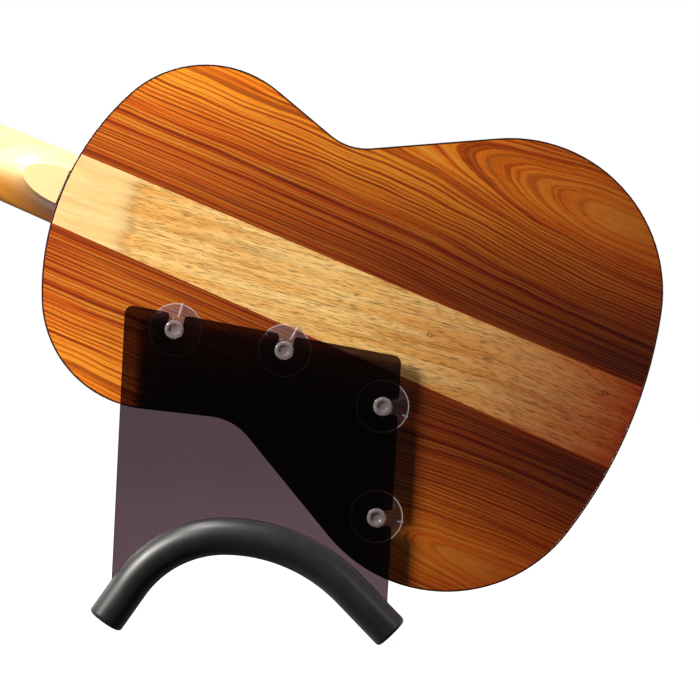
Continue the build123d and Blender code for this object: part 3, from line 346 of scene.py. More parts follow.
def cut_corners(points, times=2):
    """Each corner of an open line is cut off a quarter of the way along its two sides; the ends stay."""
    for _ in range(times):
        near, far = 0.75 * points[:-1] + 0.25 * points[1:], 0.25 * points[:-1] + 0.75 * points[1:]
        points = np.vstack([points[:1], np.stack([near, far], 1).reshape(-1, points.shape[1]), points[-1:]])
    return points


def tube(path, radius, sides, hint=ACROSS):
    """Round tube along a path: point = path + radius (side cos a + up sin a), where side is the hint made
    square to the path and up is square to both; each end closes on a point of the path."""
    tangent = np.gradient(path, axis=0)
    tangent /= np.linalg.norm(tangent, axis=1, keepdims=True)
    side = np.array(hint) - tangent * (tangent @ np.array(hint))[:, None]
    side /= np.linalg.norm(side, axis=1, keepdims=True)
    up = np.cross(tangent, side)
    angle = np.linspace(0, 2 * np.pi, sides, endpoint=False)
    radii = np.broadcast_to(radius, len(path))[:, None, None]
    rings = path[:, None] + radii * (side[:, None] * np.cos(angle)[None, :, None]
                                     + up[:, None] * np.sin(angle)[None, :, None])
    ends = np.repeat(path[[0, -1]][:, None], sides, axis=1)
    rings = np.concatenate([ends[:1], rings, ends[1:]])
    run = np.concatenate([[0], np.cumsum(np.linalg.norm(np.diff(path, axis=0), axis=1))])
    along = np.repeat(np.concatenate([run[:1], run, run[-1:]])[:, None], sides, axis=1)
    return rings.reshape(-1, 3), grid_faces(len(path) + 2, sides, wrap=True), along.ravel()


def gather(parts):
    """Several (points, faces, marks) sets as one set."""
    points, faces, marks, start = [], [], [], 0
    for some, quads, mark in parts:
        points.append(some)
        faces += [[v + start for v in quad] for quad in quads]
        marks.append(mark)
        start += len(some)
    return np.vstack(points), faces, np.concatenate(marks)


# ------------------------------------------------------------------ node helper and shared patterns
MODE_SETTING = {"Math": "operation", "VectorMath": "operation", "MapRange": "interpolation_type",
                "Mix": "blend_type", "TexNoise": "noise_dimensions"}
USUAL_SETTINGS = {"MapRange": {"interpolation_type": "SMOOTHSTEP"}, "Mix": {"data_type": "RGBA"}}


def put(tree, kind, *values, out=0, stops=None, **settings):
    """Adds a node with its settings, values and links; gives one output, or the node where out is None. A word
    after the kind is its mode. Plain values fill the inputs in use in their order; a dict fills them by name."""
    kind, _, mode = kind.partition(" ")
    made = tree.nodes.new("ShaderNode" + kind)
    settings = {**USUAL_SETTINGS.get(kind, {}), **settings}
    if mode:
        settings[MODE_SETTING[kind]] = mode
    for name, value in settings.items():
        setattr(made, name, value)
    in_use = [socket for socket in made.inputs if socket.enabled]
    named = values[0] if values and isinstance(values[0], dict) else None
    filled = [(made.inputs[k], v) for k, v in named.items()] if named else zip(in_use, values)
    for socket, value in filled:
        if isinstance(value, bpy.types.NodeSocket):
            tree.links.new(value, socket)
        else:
            socket.default_value = solid(value) if socket.type == "RGBA" else value
    if stops:
        elements = made.color_ramp.elements
        for element, (at, colour) in ((elements[0], stops[0]), (elements[-1], stops[-1])):
            element.position, element.color = at, solid(colour)
        for at, colour in stops[1:-1]:
            elements.new(at).color = solid(colour)
    if out is None:
        return made
    return made.outputs[out] if out else next(socket for socket in made.outputs if socket.enabled)


def new_material(name, look):
    """An empty node material and the function that adds nodes to its tree."""
    material = bpy.data.materials.new(name)
    material.use_nodes = True
    material.node_tree.nodes.clear()
    material.diffuse_color = solid(look)
    return material, partial(put, material.node_tree)


def guitar_place(add, origin=TAIL):
    """Object coordinates turned to the guitar, in millimetres from an origin: along, across, and in from the back."""
    turn = Matrix([ALONG, ACROSS, DEPTH]).transposed().to_euler()
    return add("Mapping", add("TexCoord", out="Object"), origin, turn, (MM, MM, MM), vector_type="TEXTURE")


def row_place(add):
    """Object coordinates in millimetres."""
    return add("VectorMath SCALE", add("TexCoord", out="Object"), 1 / MM)


def streaks(add, place, size, seed=0.0, detail=3.0, roughness=0.55):
    """Noise whose marks have the given sizes in millimetres along, across and in depth."""
    scaled = add("Mapping", place, (seed, seed, seed), (0, 0, 0), tuple(1 / length for length in size))
    return add("TexNoise", {"Vector": scaled, "Scale": 1.0, "Detail": detail, "Roughness": roughness})


# ------------------------------------------------------------------ woods
def back_hardwood(name, w, sides=False):
    """Flat-sawn tropical hardwood, bookmatched, sanded, pore-filled and sprayed with gloss lacquer. Growth rings
    cut at a low angle give long dark lines that fold into cathedral arches beside the pith; the lacquer gives a
    deep, wet colour and a clear mirror layer over a slightly softer one."""
    material, add = new_material(name, w.back_body)
    place = guitar_place(add)
    parts = add("SeparateXYZ", place, out=None).outputs
    u, v = parts[0], parts[2] if sides else add("Math ABSOLUTE", parts[1])
    slow = streaks(add, place, (150, 60, 60), 3.1, 2.0)
    wander = add("Math MULTIPLY", add("Math SUBTRACT", slow, 0.5),
                 7.0 if sides else add("MapRange", v, 30, 130, 2.5, 20.0))
    shiver = add("Math MULTIPLY", add("Math SUBTRACT", streaks(add, place, (60, 12, 12), 8.4, 2.0), 0.5), 1.6)
    if sides:
        ring = add("Math ADD", add("Math ADD", v, wander), shiver)
    else:
        # distance from the pith, which lies deeper under the surface towards the neck
        off = add("Math ADD", add("Math SUBTRACT", v, w.pith / MM), wander)
        deep = add("MapRange", u, 30, 260, 1.5, 34)
        ring = add("Math SQRT", add("Math ADD", add("Math MULTIPLY", off, off), add("Math MULTIPLY", deep, deep)))
        # rings look wider where the cut runs along them, beside the pith
        wide = add("Math DIVIDE", add("Math MULTIPLY", ring, ring), add("Math ADD", ring, 26.0))
        ring = add("Math ADD", wide, shiver)
    strong = add("TexNoise 1D", {"W": add("Math DIVIDE", ring, w.band / MM), "Scale": 1.0, "Detail": 3.0,
                                 "Roughness": 0.62})
    fine = add("TexNoise 1D", {"W": add("Math DIVIDE", ring, w.fine_band / MM), "Scale": 1.0, "Detail": 2.0,
                               "Roughness": 0.6})
    fibre = streaks(add, place, (46, 0.9, 0.9), 1.7, 3.0)
    tone = add("Math ADD", add("Math MULTIPLY", strong, 0.48), add("Math MULTIPLY", fine, 0.34))
    tone = add("Math ADD", tone, add("Math MULTIPLY", fibre, 0.18))
    colour = add("ValToRGB", tone, stops=[(0.37, w.back_line), (0.45, w.back_red), (0.52, w.back_body),
                                          (0.62, w.back_bright)])
    # sharp latewood lines that start and stop along the grain and fade out in the figure beside the pith
    line_place = add("CombineXYZ", add("Math DIVIDE", u, 150.0), add("Math DIVIDE", ring, w.fine_band / MM))
    late = add("TexNoise", {"Vector": line_place, "Scale": 1.0, "Detail": 1.0, "Roughness": 0.5})
    beat = add("Math PINGPONG",
               add("Math ADD", add("Math DIVIDE", ring, w.fine_band / MM), add("Math MULTIPLY", late, 2.2)), 1.0)
    late = add("Math ADD", add("Math MULTIPLY", late, 0.62), add("Math MULTIPLY", beat, 0.38))
    clarity = 0.6 if sides else add("MapRange", ring, 2, 26, 0.3, 0.72)
    colour = add("Mix", add("Math MULTIPLY", add("MapRange", late, 0.48, 0.66), clarity), colour, w.back_line)
    # broad clouds of redder wood, then short pores
    cloud = streaks(add, place, (150, 26, 26), 5.5, 2.0)
    colour = add("Mix MULTIPLY", add("MapRange", cloud, 0.45, 0.65, 0.0, 0.3), colour, w.back_red)
    pore = streaks(add, place, (7, 0.55, 0.55), 9.2, 1.0)
    colour = add("Mix", add("MapRange", pore, 0.60, 0.72, 0.0, 0.35), colour, w.back_line)
    if sides:
        colour = add("Mix MULTIPLY", 1.0, colour, w.side_shade)
    else:
        # painted shade: the back darkens beside the seams and towards the tail, standing in for the light that falls
        # off there
        edge = add("Math SUBTRACT", v, add("MapRange LINEAR", u, 0, w.body_length / MM, w.strip_tail / MM,
                                           w.strip_neck / MM))
        near = add("MapRange", edge, 4, 110, 1.0, 0.0)
        tail = add("MapRange LINEAR", u, 20, 450, 1.0, 0.0)
        colour = add("Mix MULTIPLY", near, colour, w.back_seam)
        colour = add("Mix MULTIPLY", tail, colour, w.back_deep)
        colour = add("Mix MULTIPLY", add("Math MULTIPLY", near, tail), colour, w.seam_deep)
        line = add("MapRange", edge, 0.9, 1.7, 0.75, 0.0)
        second = add("Math MULTIPLY", add("MapRange", edge, 2.6, 3.1, 0.0, 0.5),
                     add("MapRange", edge, 3.5, 4.2, 1.0, 0.0))
        colour = add("Mix", add("Math MAXIMUM", line, second), colour, w.back_line)
    gloss = add("MapRange", pore, 0.5, 0.75, 0.30, 0.42)
    bump = add("Bump", {"Height": add("Math ADD", fibre, fine), "Distance": 0.05 * MM, "Strength": 0.35})
    surface = add("BsdfPrincipled", {"Base Color": colour, "Roughness": gloss, "Normal": bump, "IOR": 1.5,
                                     "Coat Weight": 0.7, "Coat Roughness": 0.06})
    add("OutputMaterial", surface, out=None)
    return material


def centre_strip_wood(name, w):
    """Pale open-pored hardwood, quarter-sawn, under the same gloss lacquer. Its pores show as short dark wavy
    dashes along the grain, with a paler stretch near the neck where the dashes fade, and two pin knots."""
    material, add = new_material(name, w.strip_body)
    place = guitar_place(add)
    parts = add("SeparateXYZ", place, out=None).outputs
    u, v = parts[0], parts[1]
    wave = add("Math MULTIPLY", add("Math SUBTRACT", streaks(add, place, (30, 9, 9), 2.2, 2.0), 0.5), 2.6)
    # the pores run a little across the strip near the neck
    slant = add("Math ADD", wave, add("MapRange LINEAR", u, 120, 470, 0, 46))
    bent = add("CombineXYZ", u, add("Math ADD", v, slant), parts[2])
    haze = streaks(add, bent, (120, 9, 9), 4.1, 3.0)
    colour = add("ValToRGB", haze, stops=[(0.36, w.strip_body), (0.62, w.strip_light)])
    line = streaks(add, bent, (70, 1.5, 1.5), 6.6, 3.0)
    colour = add("Mix", add("MapRange", line, 0.48, 0.66, 0.0, 0.35), colour, w.strip_pore)
    # the paler stretch with fewer dashes ends in a slanted amber front
    front = add("Math ADD", add("Math MULTIPLY", v, -0.12), u)
    front = add("Math ADD", front, add("Math MULTIPLY", add("Math SUBTRACT", haze, 0.5), 22.0))
    smooth = add("MapRange", front, 424, 438)
    amber = add("Math MULTIPLY", add("MapRange", front, 420, 431), add("MapRange", front, 432, 445, 1.0, 0.0))
    dash = streaks(add, bent, (9.5, 0.65, 0.65), 3.3, 2.0)
    dashes = add("Math MULTIPLY", add("MapRange", dash, 0.50, 0.66, 0.0, 0.72),
                 add("MapRange", smooth, 0, 1, 1.0, 0.5))
    colour = add("Mix", dashes, colour, w.strip_pore)
    colour = add("Mix", add("Math MULTIPLY", amber, 0.3), colour, w.strip_pore)
    colour = add("Mix", add("Math MULTIPLY", smooth, 0.5), colour, w.strip_smooth)
    for at in ((174.2, 6.7), (28.5, 19.1)):
        flat = add("CombineXYZ", add("Math MULTIPLY", add("Math SUBTRACT", u, at[0]), 0.6),
                   add("Math SUBTRACT", v, at[1]))
        off = add("VectorMath LENGTH", flat)
        colour = add("Mix", add("MapRange", off, 0.8, 2.6, 0.75, 0.0), colour, w.strip_pore)
        colour = add("Mix", add("MapRange", off, 0.2, 0.9, 0.8, 0.0), colour, w.strip_light)
    # painted shade: the strip darkens towards the tail, standing in for the light that falls off there
    colour = add("Mix MULTIPLY", add("MapRange LINEAR", u, 0, 240, 1.0, 0.0), colour, w.strip_deep)
    bump = add("Bump", {"Height": add("Math ADD", dashes, line), "Distance": 0.04 * MM, "Strength": 0.3})
    surface = add("BsdfPrincipled", {"Base Color": colour, "Roughness": add("MapRange", dashes, 0, 1, 0.32, 0.45),
                                     "Normal": bump, "IOR": 1.5, "Coat Weight": 0.6, "Coat Roughness": 0.08})
    add("OutputMaterial", surface, out=None)
    return material


def straight_wood(name, light, line, spacing, coat, roughness, bookmatched=False, speckle=0.0, contrast=0.7,
                  amber=None, stain=None):
    """Straight-grained wood, planed and sanded: fine parallel lines at a real spacing, fibre streaks and a few
    cross-grain flecks. A sprayed finish adds a clear layer; bare wood inside the body has none."""
    material, add = new_material(name, light)
    place = guitar_place(add)
    parts = add("SeparateXYZ", place, out=None).outputs
    if bookmatched:
        v = add("Math ABSOLUTE", parts[1])
    else:
        v = add("Math ADD", parts[1], add("Math MULTIPLY", parts[2], 0.35))
    sway = add("Math MULTIPLY", add("Math SUBTRACT", streaks(add, place, (240, 60, 60), 7.7, 1.0), 0.5), 6.0)
    ring = add("Math DIVIDE", add("Math ADD", v, sway), spacing)
    grain = add("TexNoise 1D", {"W": ring, "Scale": 1.0, "Detail": 2.0, "Roughness": 0.55})
    fibre = streaks(add, place, (30, 0.5, 0.5), 2.9, 2.0)
    tone = add("Math ADD", add("Math MULTIPLY", grain, 0.7), add("Math MULTIPLY", fibre, 0.3))
    colour = add("Mix", add("MapRange", tone, 0.46, 0.62, 0.0, contrast), light, line)
    if speckle:
        fleck = streaks(add, place, (1.1, 7, 7), 5.1, 1.0)
        colour = add("Mix", add("MapRange", fleck, 0.60, 0.70, 0.0, speckle), colour, line)
    tint = streaks(add, place, (120, 40, 40), 1.3, 2.0)
    colour = add("Mix", add("MapRange", tint, 0.35, 0.7, 0.0, 0.22), colour, line)
    if amber:
        # painted shade: the neck's lower side, beside the heel, turns amber where it lies in shade
        heel = add("Math MULTIPLY", add("MapRange", parts[0], 600, 760, 1.0, 0.12),
                   add("MapRange", parts[1], 4, -20))
        colour = add("Mix", heel, colour, amber)
        # the stain deepens towards the head
        colour = add("Mix MULTIPLY", add("MapRange", parts[0], 540, 820), colour, stain)
    surface = add("BsdfPrincipled",
                  {"Base Color": colour, "Roughness": add("MapRange", tone, 0.4, 0.6, roughness, roughness + 0.1),
                   "Normal": add("Bump", {"Height": tone, "Distance": 0.06 * MM, "Strength": 0.3}), "IOR": 1.5,
                   "Coat Weight": coat, "Coat Roughness": 0.1})
    add("OutputMaterial", surface, out=None)
    return material


def inlay_rings(name, w):
    """Rosette of thin dyed veneers bent round the soundhole, with a middle band of small end-grain tiles, all
    levelled and lacquered: concentric dark and pale lines, and a fine woven look between them."""
    material, add = new_material(name, w.trim)
    inner = span("rosette", ALONG)
    hole = TAIL + ALONG * (sum(inner) / 2 - TAIL.dot(ALONG))
    local = guitar_place(add, hole)
    parts = add("SeparateXYZ", local, out=None).outputs
    flat = add("CombineXYZ", parts[0], parts[1])
    radius = add("VectorMath LENGTH", flat)
    angle = add("Math ARCTAN2", parts[1], parts[0])
    share = add("MapRange LINEAR", radius, 46, 62)
    dark, pale, red = linear("#20130C"), w.strip_light, linear("#8E3A1A")
    rings = add("ValToRGB", share, stops=[(0.0, dark), (0.07, pale), (0.11, dark), (0.17, red), (0.23, pale),
                                          (0.27, dark), (0.32, pale), (0.68, dark), (0.73, pale), (0.77, red),
                                          (0.83, dark), (0.89, pale), (0.93, dark)])
    rings.node.color_ramp.interpolation = "CONSTANT"
    row = add("Math FLOOR", add("Math MULTIPLY", radius, 1.25))
    step = add("Math FLOOR", add("Math MULTIPLY", angle, 46.0))
    check = add("Math PINGPONG", add("Math ADD", row, step), 2.0)
    tiles = add("ValToRGB", add("Math DIVIDE", check, 2.0), stops=[(0.0, dark), (0.4, red), (0.8, pale)])
    tiles.node.color_ramp.interpolation = "CONSTANT"
    band = add("Math MULTIPLY", add("Math GREATER_THAN", share, 0.32), add("Math LESS_THAN", share, 0.68))
    colour = add("Mix", band, rings, tiles)
    dust = streaks(add, local, (3, 3, 3), 1.0, 2.0)
    colour = add("Mix", add("MapRange", dust, 0.4, 0.7, 0.0, 0.25), colour, dark)
    surface = add("BsdfPrincipled", {"Base Color": colour, "Roughness": add("MapRange", dust, 0.3, 0.7, 0.28, 0.4),
                                     "IOR": 1.5, "Coat Weight": 0.5, "Coat Roughness": 0.08})
    add("OutputMaterial", surface, out=None)
    return material


# ------------------------------------------------------------------ metals, plastics and the rest
def bright_metal(name, colour, roughness, scratch=1.0):
    """Plated or bare metal, drawn and buffed: fine brushing along the part and soft finger dulling, so that
    highlights break up slightly instead of mirroring like chrome."""
    material, add = new_material(name, colour)
    place = row_place(add)
    brush = streaks(add, place, (9, 0.25, 0.25), 2.0, 2.0)
    cloud = streaks(add, place, (6, 6, 6), 7.0, 3.0)
    shade = add("Mix", add("MapRange", cloud, 0.35, 0.7, 0.0, 0.3), colour, dimmer(colour, 0.72))
    rough = add("Math ADD", add("MapRange", cloud, 0.3, 0.7, roughness * 0.75, roughness * 1.25),
                add("MapRange", brush, 0.4, 0.7, 0.0, 0.06 * scratch))
    surface = add("BsdfPrincipled",
                  {"Base Color": shade, "Metallic": 1.0, "Roughness": rough,
                   "Normal": add("Bump", {"Height": brush, "Distance": 0.02 * MM, "Strength": 0.2 * scratch})})
    add("OutputMaterial", surface, out=None)
    return material


def wound_string(name, colour, pitch):
    """Silver-plated copper wire close-wound on a floss core: a bright ridged surface. The real winding is about
    0.2 mm wire, drawn a little coarser so that its ridges show."""
    material, add = new_material(name, colour)
    along = add("Attribute", out="Fac", attribute_name="along")
    turn = add("Math MULTIPLY", along, 2 * math.pi / pitch)
    ridge = add("Math MULTIPLY_ADD", add("Math SINE", turn), 0.5, 0.5)
    # painted shade: the colour darkens in the grooves between the turns of wire
    shade = add("Mix", add("MapRange", ridge, 0.0, 0.6, 0.65, 0.0), colour, dimmer(colour, 0.35))
    surface = add("BsdfPrincipled",
                  {"Base Color": shade, "Metallic": 1.0, "Roughness": add("MapRange", ridge, 0, 1, 0.38, 0.22),
                   "Normal": add("Bump", {"Height": ridge, "Distance": 0.1 * MM, "Strength": 0.8})})
    add("OutputMaterial", surface, out=None)
    return material


def hard_plastic(name, colour, roughness, swirl=0.0, tint=None, size=3.0, coat=0.0):
    """Bone, moulded resin or pearloid, shaped and buffed: an even body colour with faint clouding, swirled
    where it is pearly, and a polished face that dulls slightly in patches."""
    material, add = new_material(name, colour)
    place = row_place(add)
    cloud = streaks(add, place, (size, size * 2.4, size), 3.0, 4.0, 0.6)
    bent = add("VectorMath ADD", place, add("VectorMath SCALE", cloud, 6.0 * swirl))
    vein = streaks(add, bent, (size, size, size), 8.0, 2.0)
    shade = add("Mix", add("MapRange", vein, 0.38, 0.62, 0.0, 0.35 + 0.4 * swirl), colour,
                tint or dimmer(colour, 0.82))
    surface = add("BsdfPrincipled",
                  {"Base Color": shade, "Roughness": add("MapRange", cloud, 0.3, 0.7, roughness, roughness + 0.12),
                   "Normal": add("Bump", {"Height": vein, "Distance": 0.02 * MM, "Strength": 0.15}), "IOR": 1.5,
                   "Coat Weight": coat, "Coat Roughness": 0.05})
    add("OutputMaterial", surface, out=None)
    return material


def clear_nylon(name, colour):
    """Extruded nylon line, drawn smooth: nearly clear, with a soft milky body and a wet highlight."""
    material, add = new_material(name, colour)
    along = add("Attribute", out="Fac", attribute_name="along")
    drift = add("TexNoise 1D", {"W": add("Math MULTIPLY", along, 90.0), "Scale": 1.0, "Detail": 2.0})
    shade = add("Mix", add("MapRange", drift, 0.35, 0.65, 0.0, 0.5), colour, dimmer(colour, 0.86))
    surface = add("BsdfPrincipled", {"Base Color": shade, "Roughness": add("MapRange", drift, 0.3, 0.7, 0.14, 0.24),
                                     "IOR": 1.53, "Transmission Weight": 0.45})
    add("OutputMaterial", surface, out=None)
    return material


def smoked_acrylic(name, s):
    """Cast acrylic sheet, dyed smoky brown-violet, laser cut and flame polished: light that passes comes out a
    tenth as strong and slightly violet, and the faces mirror a few percent like glass."""
    material, add = new_material(name, s.plate_tint)
    place = row_place(add)
    drift = streaks(add, place, (90, 90, 90), 3.0, 1.0)
    tint = add("Mix", add("MapRange", drift, 0.3, 0.7, 0.0, 0.10), s.plate_tint, dimmer(s.plate_tint, 0.85))
    clear = add("BsdfTransparent", {"Color": tint})
    haze = streaks(add, place, (1.2, 1.2, 1.2), 6.0, 3.0)
    shine = add("BsdfGlossy", {"Color": (1, 1, 1), "Roughness": add("MapRange", haze, 0.3, 0.75, 0.03, 0.07)})
    mirror = add("Fresnel", {"IOR": 1.49})
    surface = add("MixShader", mirror, clear, shine)
    add("OutputMaterial", surface, out=None)
    return material


def clear_vinyl(name, s):
    """Soft clear vinyl, injection moulded: thin walls are all but invisible apart from bright rims seen edge-on,
    and the thick head is milky with glints."""
    material, add = new_material(name, s.cup_milk)
    thick = add("Attribute", out="Fac", attribute_name="thick")
    edge = add("LayerWeight", {"Blend": 0.22}, out="Facing")
    # painted glow: the disc's rim gives its own light, standing in for light that enters the disc outside the plate,
    # runs along inside it and leaves at its rim
    glow = add("Mix", add("Attribute", out="Fac", attribute_name="glow"), (0, 0, 0), s.cup_clear)
    place = row_place(add)
    flow = streaks(add, place, (2.2, 2.2, 2.2), 4.0, 2.0)
    body = add("BsdfPrincipled",
               {"Base Color": add("Mix", add("MapRange", flow, 0.35, 0.65), s.cup_milk, dimmer(s.cup_milk, 0.8)),
                "Roughness": add("MapRange", flow, 0.3, 0.7, 0.05, 0.10), "IOR": 1.5, "Transmission Weight": 0.5,
                "Normal": add("Bump", {"Height": flow, "Distance": 0.03 * MM, "Strength": 0.12}),
                "Emission Color": glow, "Emission Strength": 1.0})
    clear = add("BsdfTransparent", {"Color": s.cup_clear})
    rim = add("Math POWER", edge, 2.0)
    share = add("Math ADD", add("Math MULTIPLY", rim, 0.7), add("Math MULTIPLY", thick, 0.5))
    share = add("Math MINIMUM", add("Math ADD", share, 0.02), 0.95)
    surface = add("MixShader", share, clear, body)
    add("OutputMaterial", surface, out=None)
    return material


def black_foam(name, s):
    """Closed-cell foam rubber tube, extruded with its own skin: matte black with a soft broad sheen, fine
    pinholes and slight dulling where it is handled."""
    material, add = new_material(name, s.foam)
    place = row_place(add)
    cells = add("TexVoronoi", {"Vector": place, "Scale": 1.5}, out="Distance")
    skin = streaks(add, place, (0.9, 0.9, 0.9), 2.0, 3.0)
    scuff = streaks(add, place, (22, 22, 22), 6.0, 4.0)
    shade = add("Mix", add("MapRange", scuff, 0.42, 0.7, 0.0, 0.5), s.foam, dimmer(s.foam, 1.7))
    height = add("Math ADD", add("Math MULTIPLY", cells, 0.5), skin)
    surface = add("BsdfPrincipled", {"Base Color": shade, "Roughness": add("MapRange", scuff, 0.3, 0.7, 0.36, 0.46),
                                     "Normal": add("Bump",
                                                   {"Height": height, "Distance": 0.12 * MM, "Strength": 0.3}),
                                     "IOR": 1.5, "Coat Weight": 0.5, "Coat Roughness": 0.42, "Sheen Weight": 0.12,
                                     "Sheen Roughness": 0.5})
    add("OutputMaterial", surface, out=None)
    return material


# ------------------------------------------------------------------ pieces
def build_foam_sleeve(s):
    """Foam sleeve: a round section with a slit and a bore, carried along the arch. Along the arch the heading
    falls from the left turn to minus the right turn; a point of the outer skin is the line's point plus the
    sleeve's radius in its direction, less near the ends, where the radius follows a quarter circle."""
    runs = (s.left_run, s.left_radius * s.left_turn, s.right_radius * s.right_turn, s.right_run)
    total = sum(runs)
    end = s.foam_end
    near = end * (1 - np.cos(np.linspace(0, np.pi / 2, 9)))
    way = np.concatenate([near, np.linspace(end, total - end, 260)[1:-1], total - near[::-1]])
    lean = s.left_turn - np.clip((way - runs[0]) / s.left_radius, 0, s.left_turn)
    fall = np.clip((way - runs[0] - runs[1]) / s.right_radius, 0, s.right_turn)
    before, after = np.maximum(runs[0] - way, 0), np.maximum(way - total + runs[3], 0)
    x = (-s.left_radius * np.sin(lean) - before * math.cos(s.left_turn)
         + s.right_radius * np.sin(fall) + after * math.cos(s.right_turn))
    z = (s.foam_radius - s.left_radius * (1 - np.cos(lean)) - before * math.sin(s.left_turn)
         - s.right_radius * (1 - np.cos(fall)) - after * math.sin(s.right_turn))
    line = np.stack([x, np.zeros_like(x), z], 1)
    heading = lean - fall
    up = np.stack([-np.sin(heading), np.zeros_like(x), np.cos(heading)], 1)
    gap = np.minimum(np.minimum(way, total - way), end)
    skin = s.foam_radius - end + np.sqrt(np.maximum(end**2 - (end - gap) ** 2, 0))
    lip = math.asin((s.foam_slit + 0.0007) / s.foam_radius)
    angle = np.linspace(lip, 2 * np.pi - lip, 110)
    swell_size, wall_start = 0.16 * MM, 3 * MM
    # hand-bent foam is never quite round: two slow waves along and round it
    swell = swell_size * np.sin(way[:, None] * 61 + 2 * angle[None]) * np.sin(angle)[None] * (gap / end)[:, None]
    outer = (skin[:, None] - swell_size + swell)[..., None] * np.stack([np.cos(angle), np.sin(angle)], 1)[None]
    mouth = outer[:, -1, 0]
    floor = math.sqrt(s.foam_bore**2 - s.foam_slit**2)
    drop = np.array([0.2, 0.9]) * MM
    wall = np.linspace(0, 1, 5)[None, :] * (mouth - wall_start - floor)[:, None]
    down = np.concatenate([mouth[:, None] - drop, mouth[:, None] - wall_start - wall], 1)
    width = np.concatenate([[s.foam_slit + 0.0003, s.foam_slit], np.full(5, s.foam_slit)])
    side = np.broadcast_to(width, down.shape)
    left_wall = np.stack([down, -side], -1)
    turn = math.atan2(s.foam_slit, floor)
    bore_angle = np.linspace(2 * np.pi - turn, turn, 26)[1:-1]
    bore = np.broadcast_to(s.foam_bore * np.stack([np.cos(bore_angle), np.sin(bore_angle)], 1), (len(way), 24, 2))
    right_wall = np.stack([down[:, ::-1], side[:, ::-1]], -1)
    section = np.concatenate([outer, left_wall, bore, right_wall], 1)
    points = line[:, None] + up[:, None] * section[..., :1] + np.array([0, 1, 0]) * section[..., 1:]
    count = section.shape[1]
    faces = grid_faces(len(way), count, wrap=True)
    faces += [list(range(count)), list(range((len(way) - 1) * count, len(way) * count))]
    sleeve = make_piece("foam_sleeve", points, faces, black_foam("black_foam_rubber", s), crease=40)
    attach(sleeve, "support")
    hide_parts("arch_foam_sleeve")


CUP_TABS = {1: (0.08, 0.0098), 2: (0.32, 0.0098), 3: (0.36, 0.0170), 4: (0.15, 0.0170)}  # turn from the slot, start


def build_suction_cup(number, s, material):
    """Suction cup: a profile of radius and depth, corner-cut to soften it, turned about the cup's axis, and a
    small pull tab carried along a line on the disc beside the slot."""
    node = f"suction_cup_{number}"
    low, high = (np.array(c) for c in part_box(node))
    centre = (low + high) / 2
    top, lip = low[1], high[1]
    head, neck, disc = s.cup_head, s.cup_neck, s.cup_disc
    line = np.array([
        (0, 0.0014), (head * 0.36, 0.0014), (head * 0.44, 0.0011), (head * 0.52, 0.0003), (head * 0.62, 0.0),
                     (head * 0.8, 0.0),
        (head * 0.95, 0.0005), (head, 0.0014), (head, 0.0030), (head * 0.96, 0.0038), (head * 0.88, 0.0040),
        (neck, 0.0040), (neck - 0.0002, 0.0046), (neck - 0.0003, 0.0066), (neck - 0.0001, 0.0088), (neck, 0.0092),
        (0.0083, 0.0092), (0.0085, 0.0097), (0.0085, 0.0108), (0.0108, 0.0123), (0.0148, 0.0143), (0.0188, 0.0160),
        (disc - 0.0004, 0.0169), (disc, 0.0173), (disc, 0.0177), (disc - 0.0004, 0.01795), (disc - 0.0015, 0.01795),
        (disc - 0.0022, 0.0177), (0.0160, 0.0167), (0.0110, 0.0161), (0.0050, 0.0159), (0, 0.0159)])
    line[:, 1] += top
    smooth = cut_corners(line, 2)
    sides = 72
    angle = np.linspace(0, 2 * np.pi, sides, endpoint=False)
    points = np.stack([centre[0] + smooth[:, :1] * np.cos(angle),
                       np.broadcast_to(smooth[:, 1:], (len(smooth), sides)),
                       centre[2] + smooth[:, :1] * np.sin(angle)], -1).reshape(-1, 3)
    depth = smooth[:, 1] - top
    thick = np.where(depth < 0.0041, 1.0,
                     np.where(depth < 0.0095, 0.5, 0.22)) * np.where(smooth[:, 0] > disc - 0.0010, 2.0, 1.0)
    slot = np.array(axis_of(f"cup_{number}_in_slot"))
    beside = np.cross([0, 1, 0], slot)
    facing = np.cos(angle)[None] * slot[0] + np.sin(angle)[None] * slot[2]
    rim = np.clip((smooth[:, :1] - disc + 0.0008) / 0.0003, 0, 1)
    # painted glow at the disc's rim, strongest on the side that faces along the slot
    glow = rim * (0.16 + 0.5 * (0.5 + 0.5 * facing) ** 2)
    marks = np.stack([np.repeat(thick, sides), glow.ravel()], 1)
    turned = (points, grid_faces(len(smooth), sides, wrap=True), marks)
    turn, start = CUP_TABS[number]
    out = slot * math.cos(turn) + beside * math.sin(turn)
    rise = np.array([[0.0098, 0.0112], [0.0125, 0.0122], [0.0165, 0.0141], [0.0205, 0.0160], [0.0222, 0.0168]])
    away = np.linspace(start, 0.0222, 5)
    reach = np.stack([away, np.interp(away, rise[:, 0], rise[:, 1])], 1)
    path = np.array([centre[0], top, centre[2]]) + reach[:, :1] * out + reach[:, 1:] * np.array([0, 1, 0])
    path = smooth_route(path, 8)
    radii = 0.0008 * np.sqrt(np.clip(1 - np.linspace(-1, 1, len(path)) ** 6, 0.02, 1))
    tab_points, tab_faces, _ = tube(path, radii, 12, hint=beside)
    tab = (tab_points, tab_faces, np.tile([1.0, 0.12], (len(tab_points), 1)))
    points, faces, marks = gather([turned, tab])
    cup = make_piece(f"cup_{number}", points, faces, material, {"thick": marks[:, 0], "glow": marks[:, 1]},
                     crease=60)
    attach(cup, f"cup_{number}")
    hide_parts(node)


STRINGS = (  # treble first: diameter, place over the saddle and the nut, roller number, offset on the roller
    (0.72, -29.0, -21.5, 1, -20.0), (0.82, -17.4, -12.9, 2, -16.5), (1.02, -5.8, -4.3, 3, -14.5),
    (0.75, 5.8, 4.3, 6, 14.5), (0.90, 17.4, 12.9, 5, 16.5), (1.10, 29.0, 21.5, 4, 20.0))


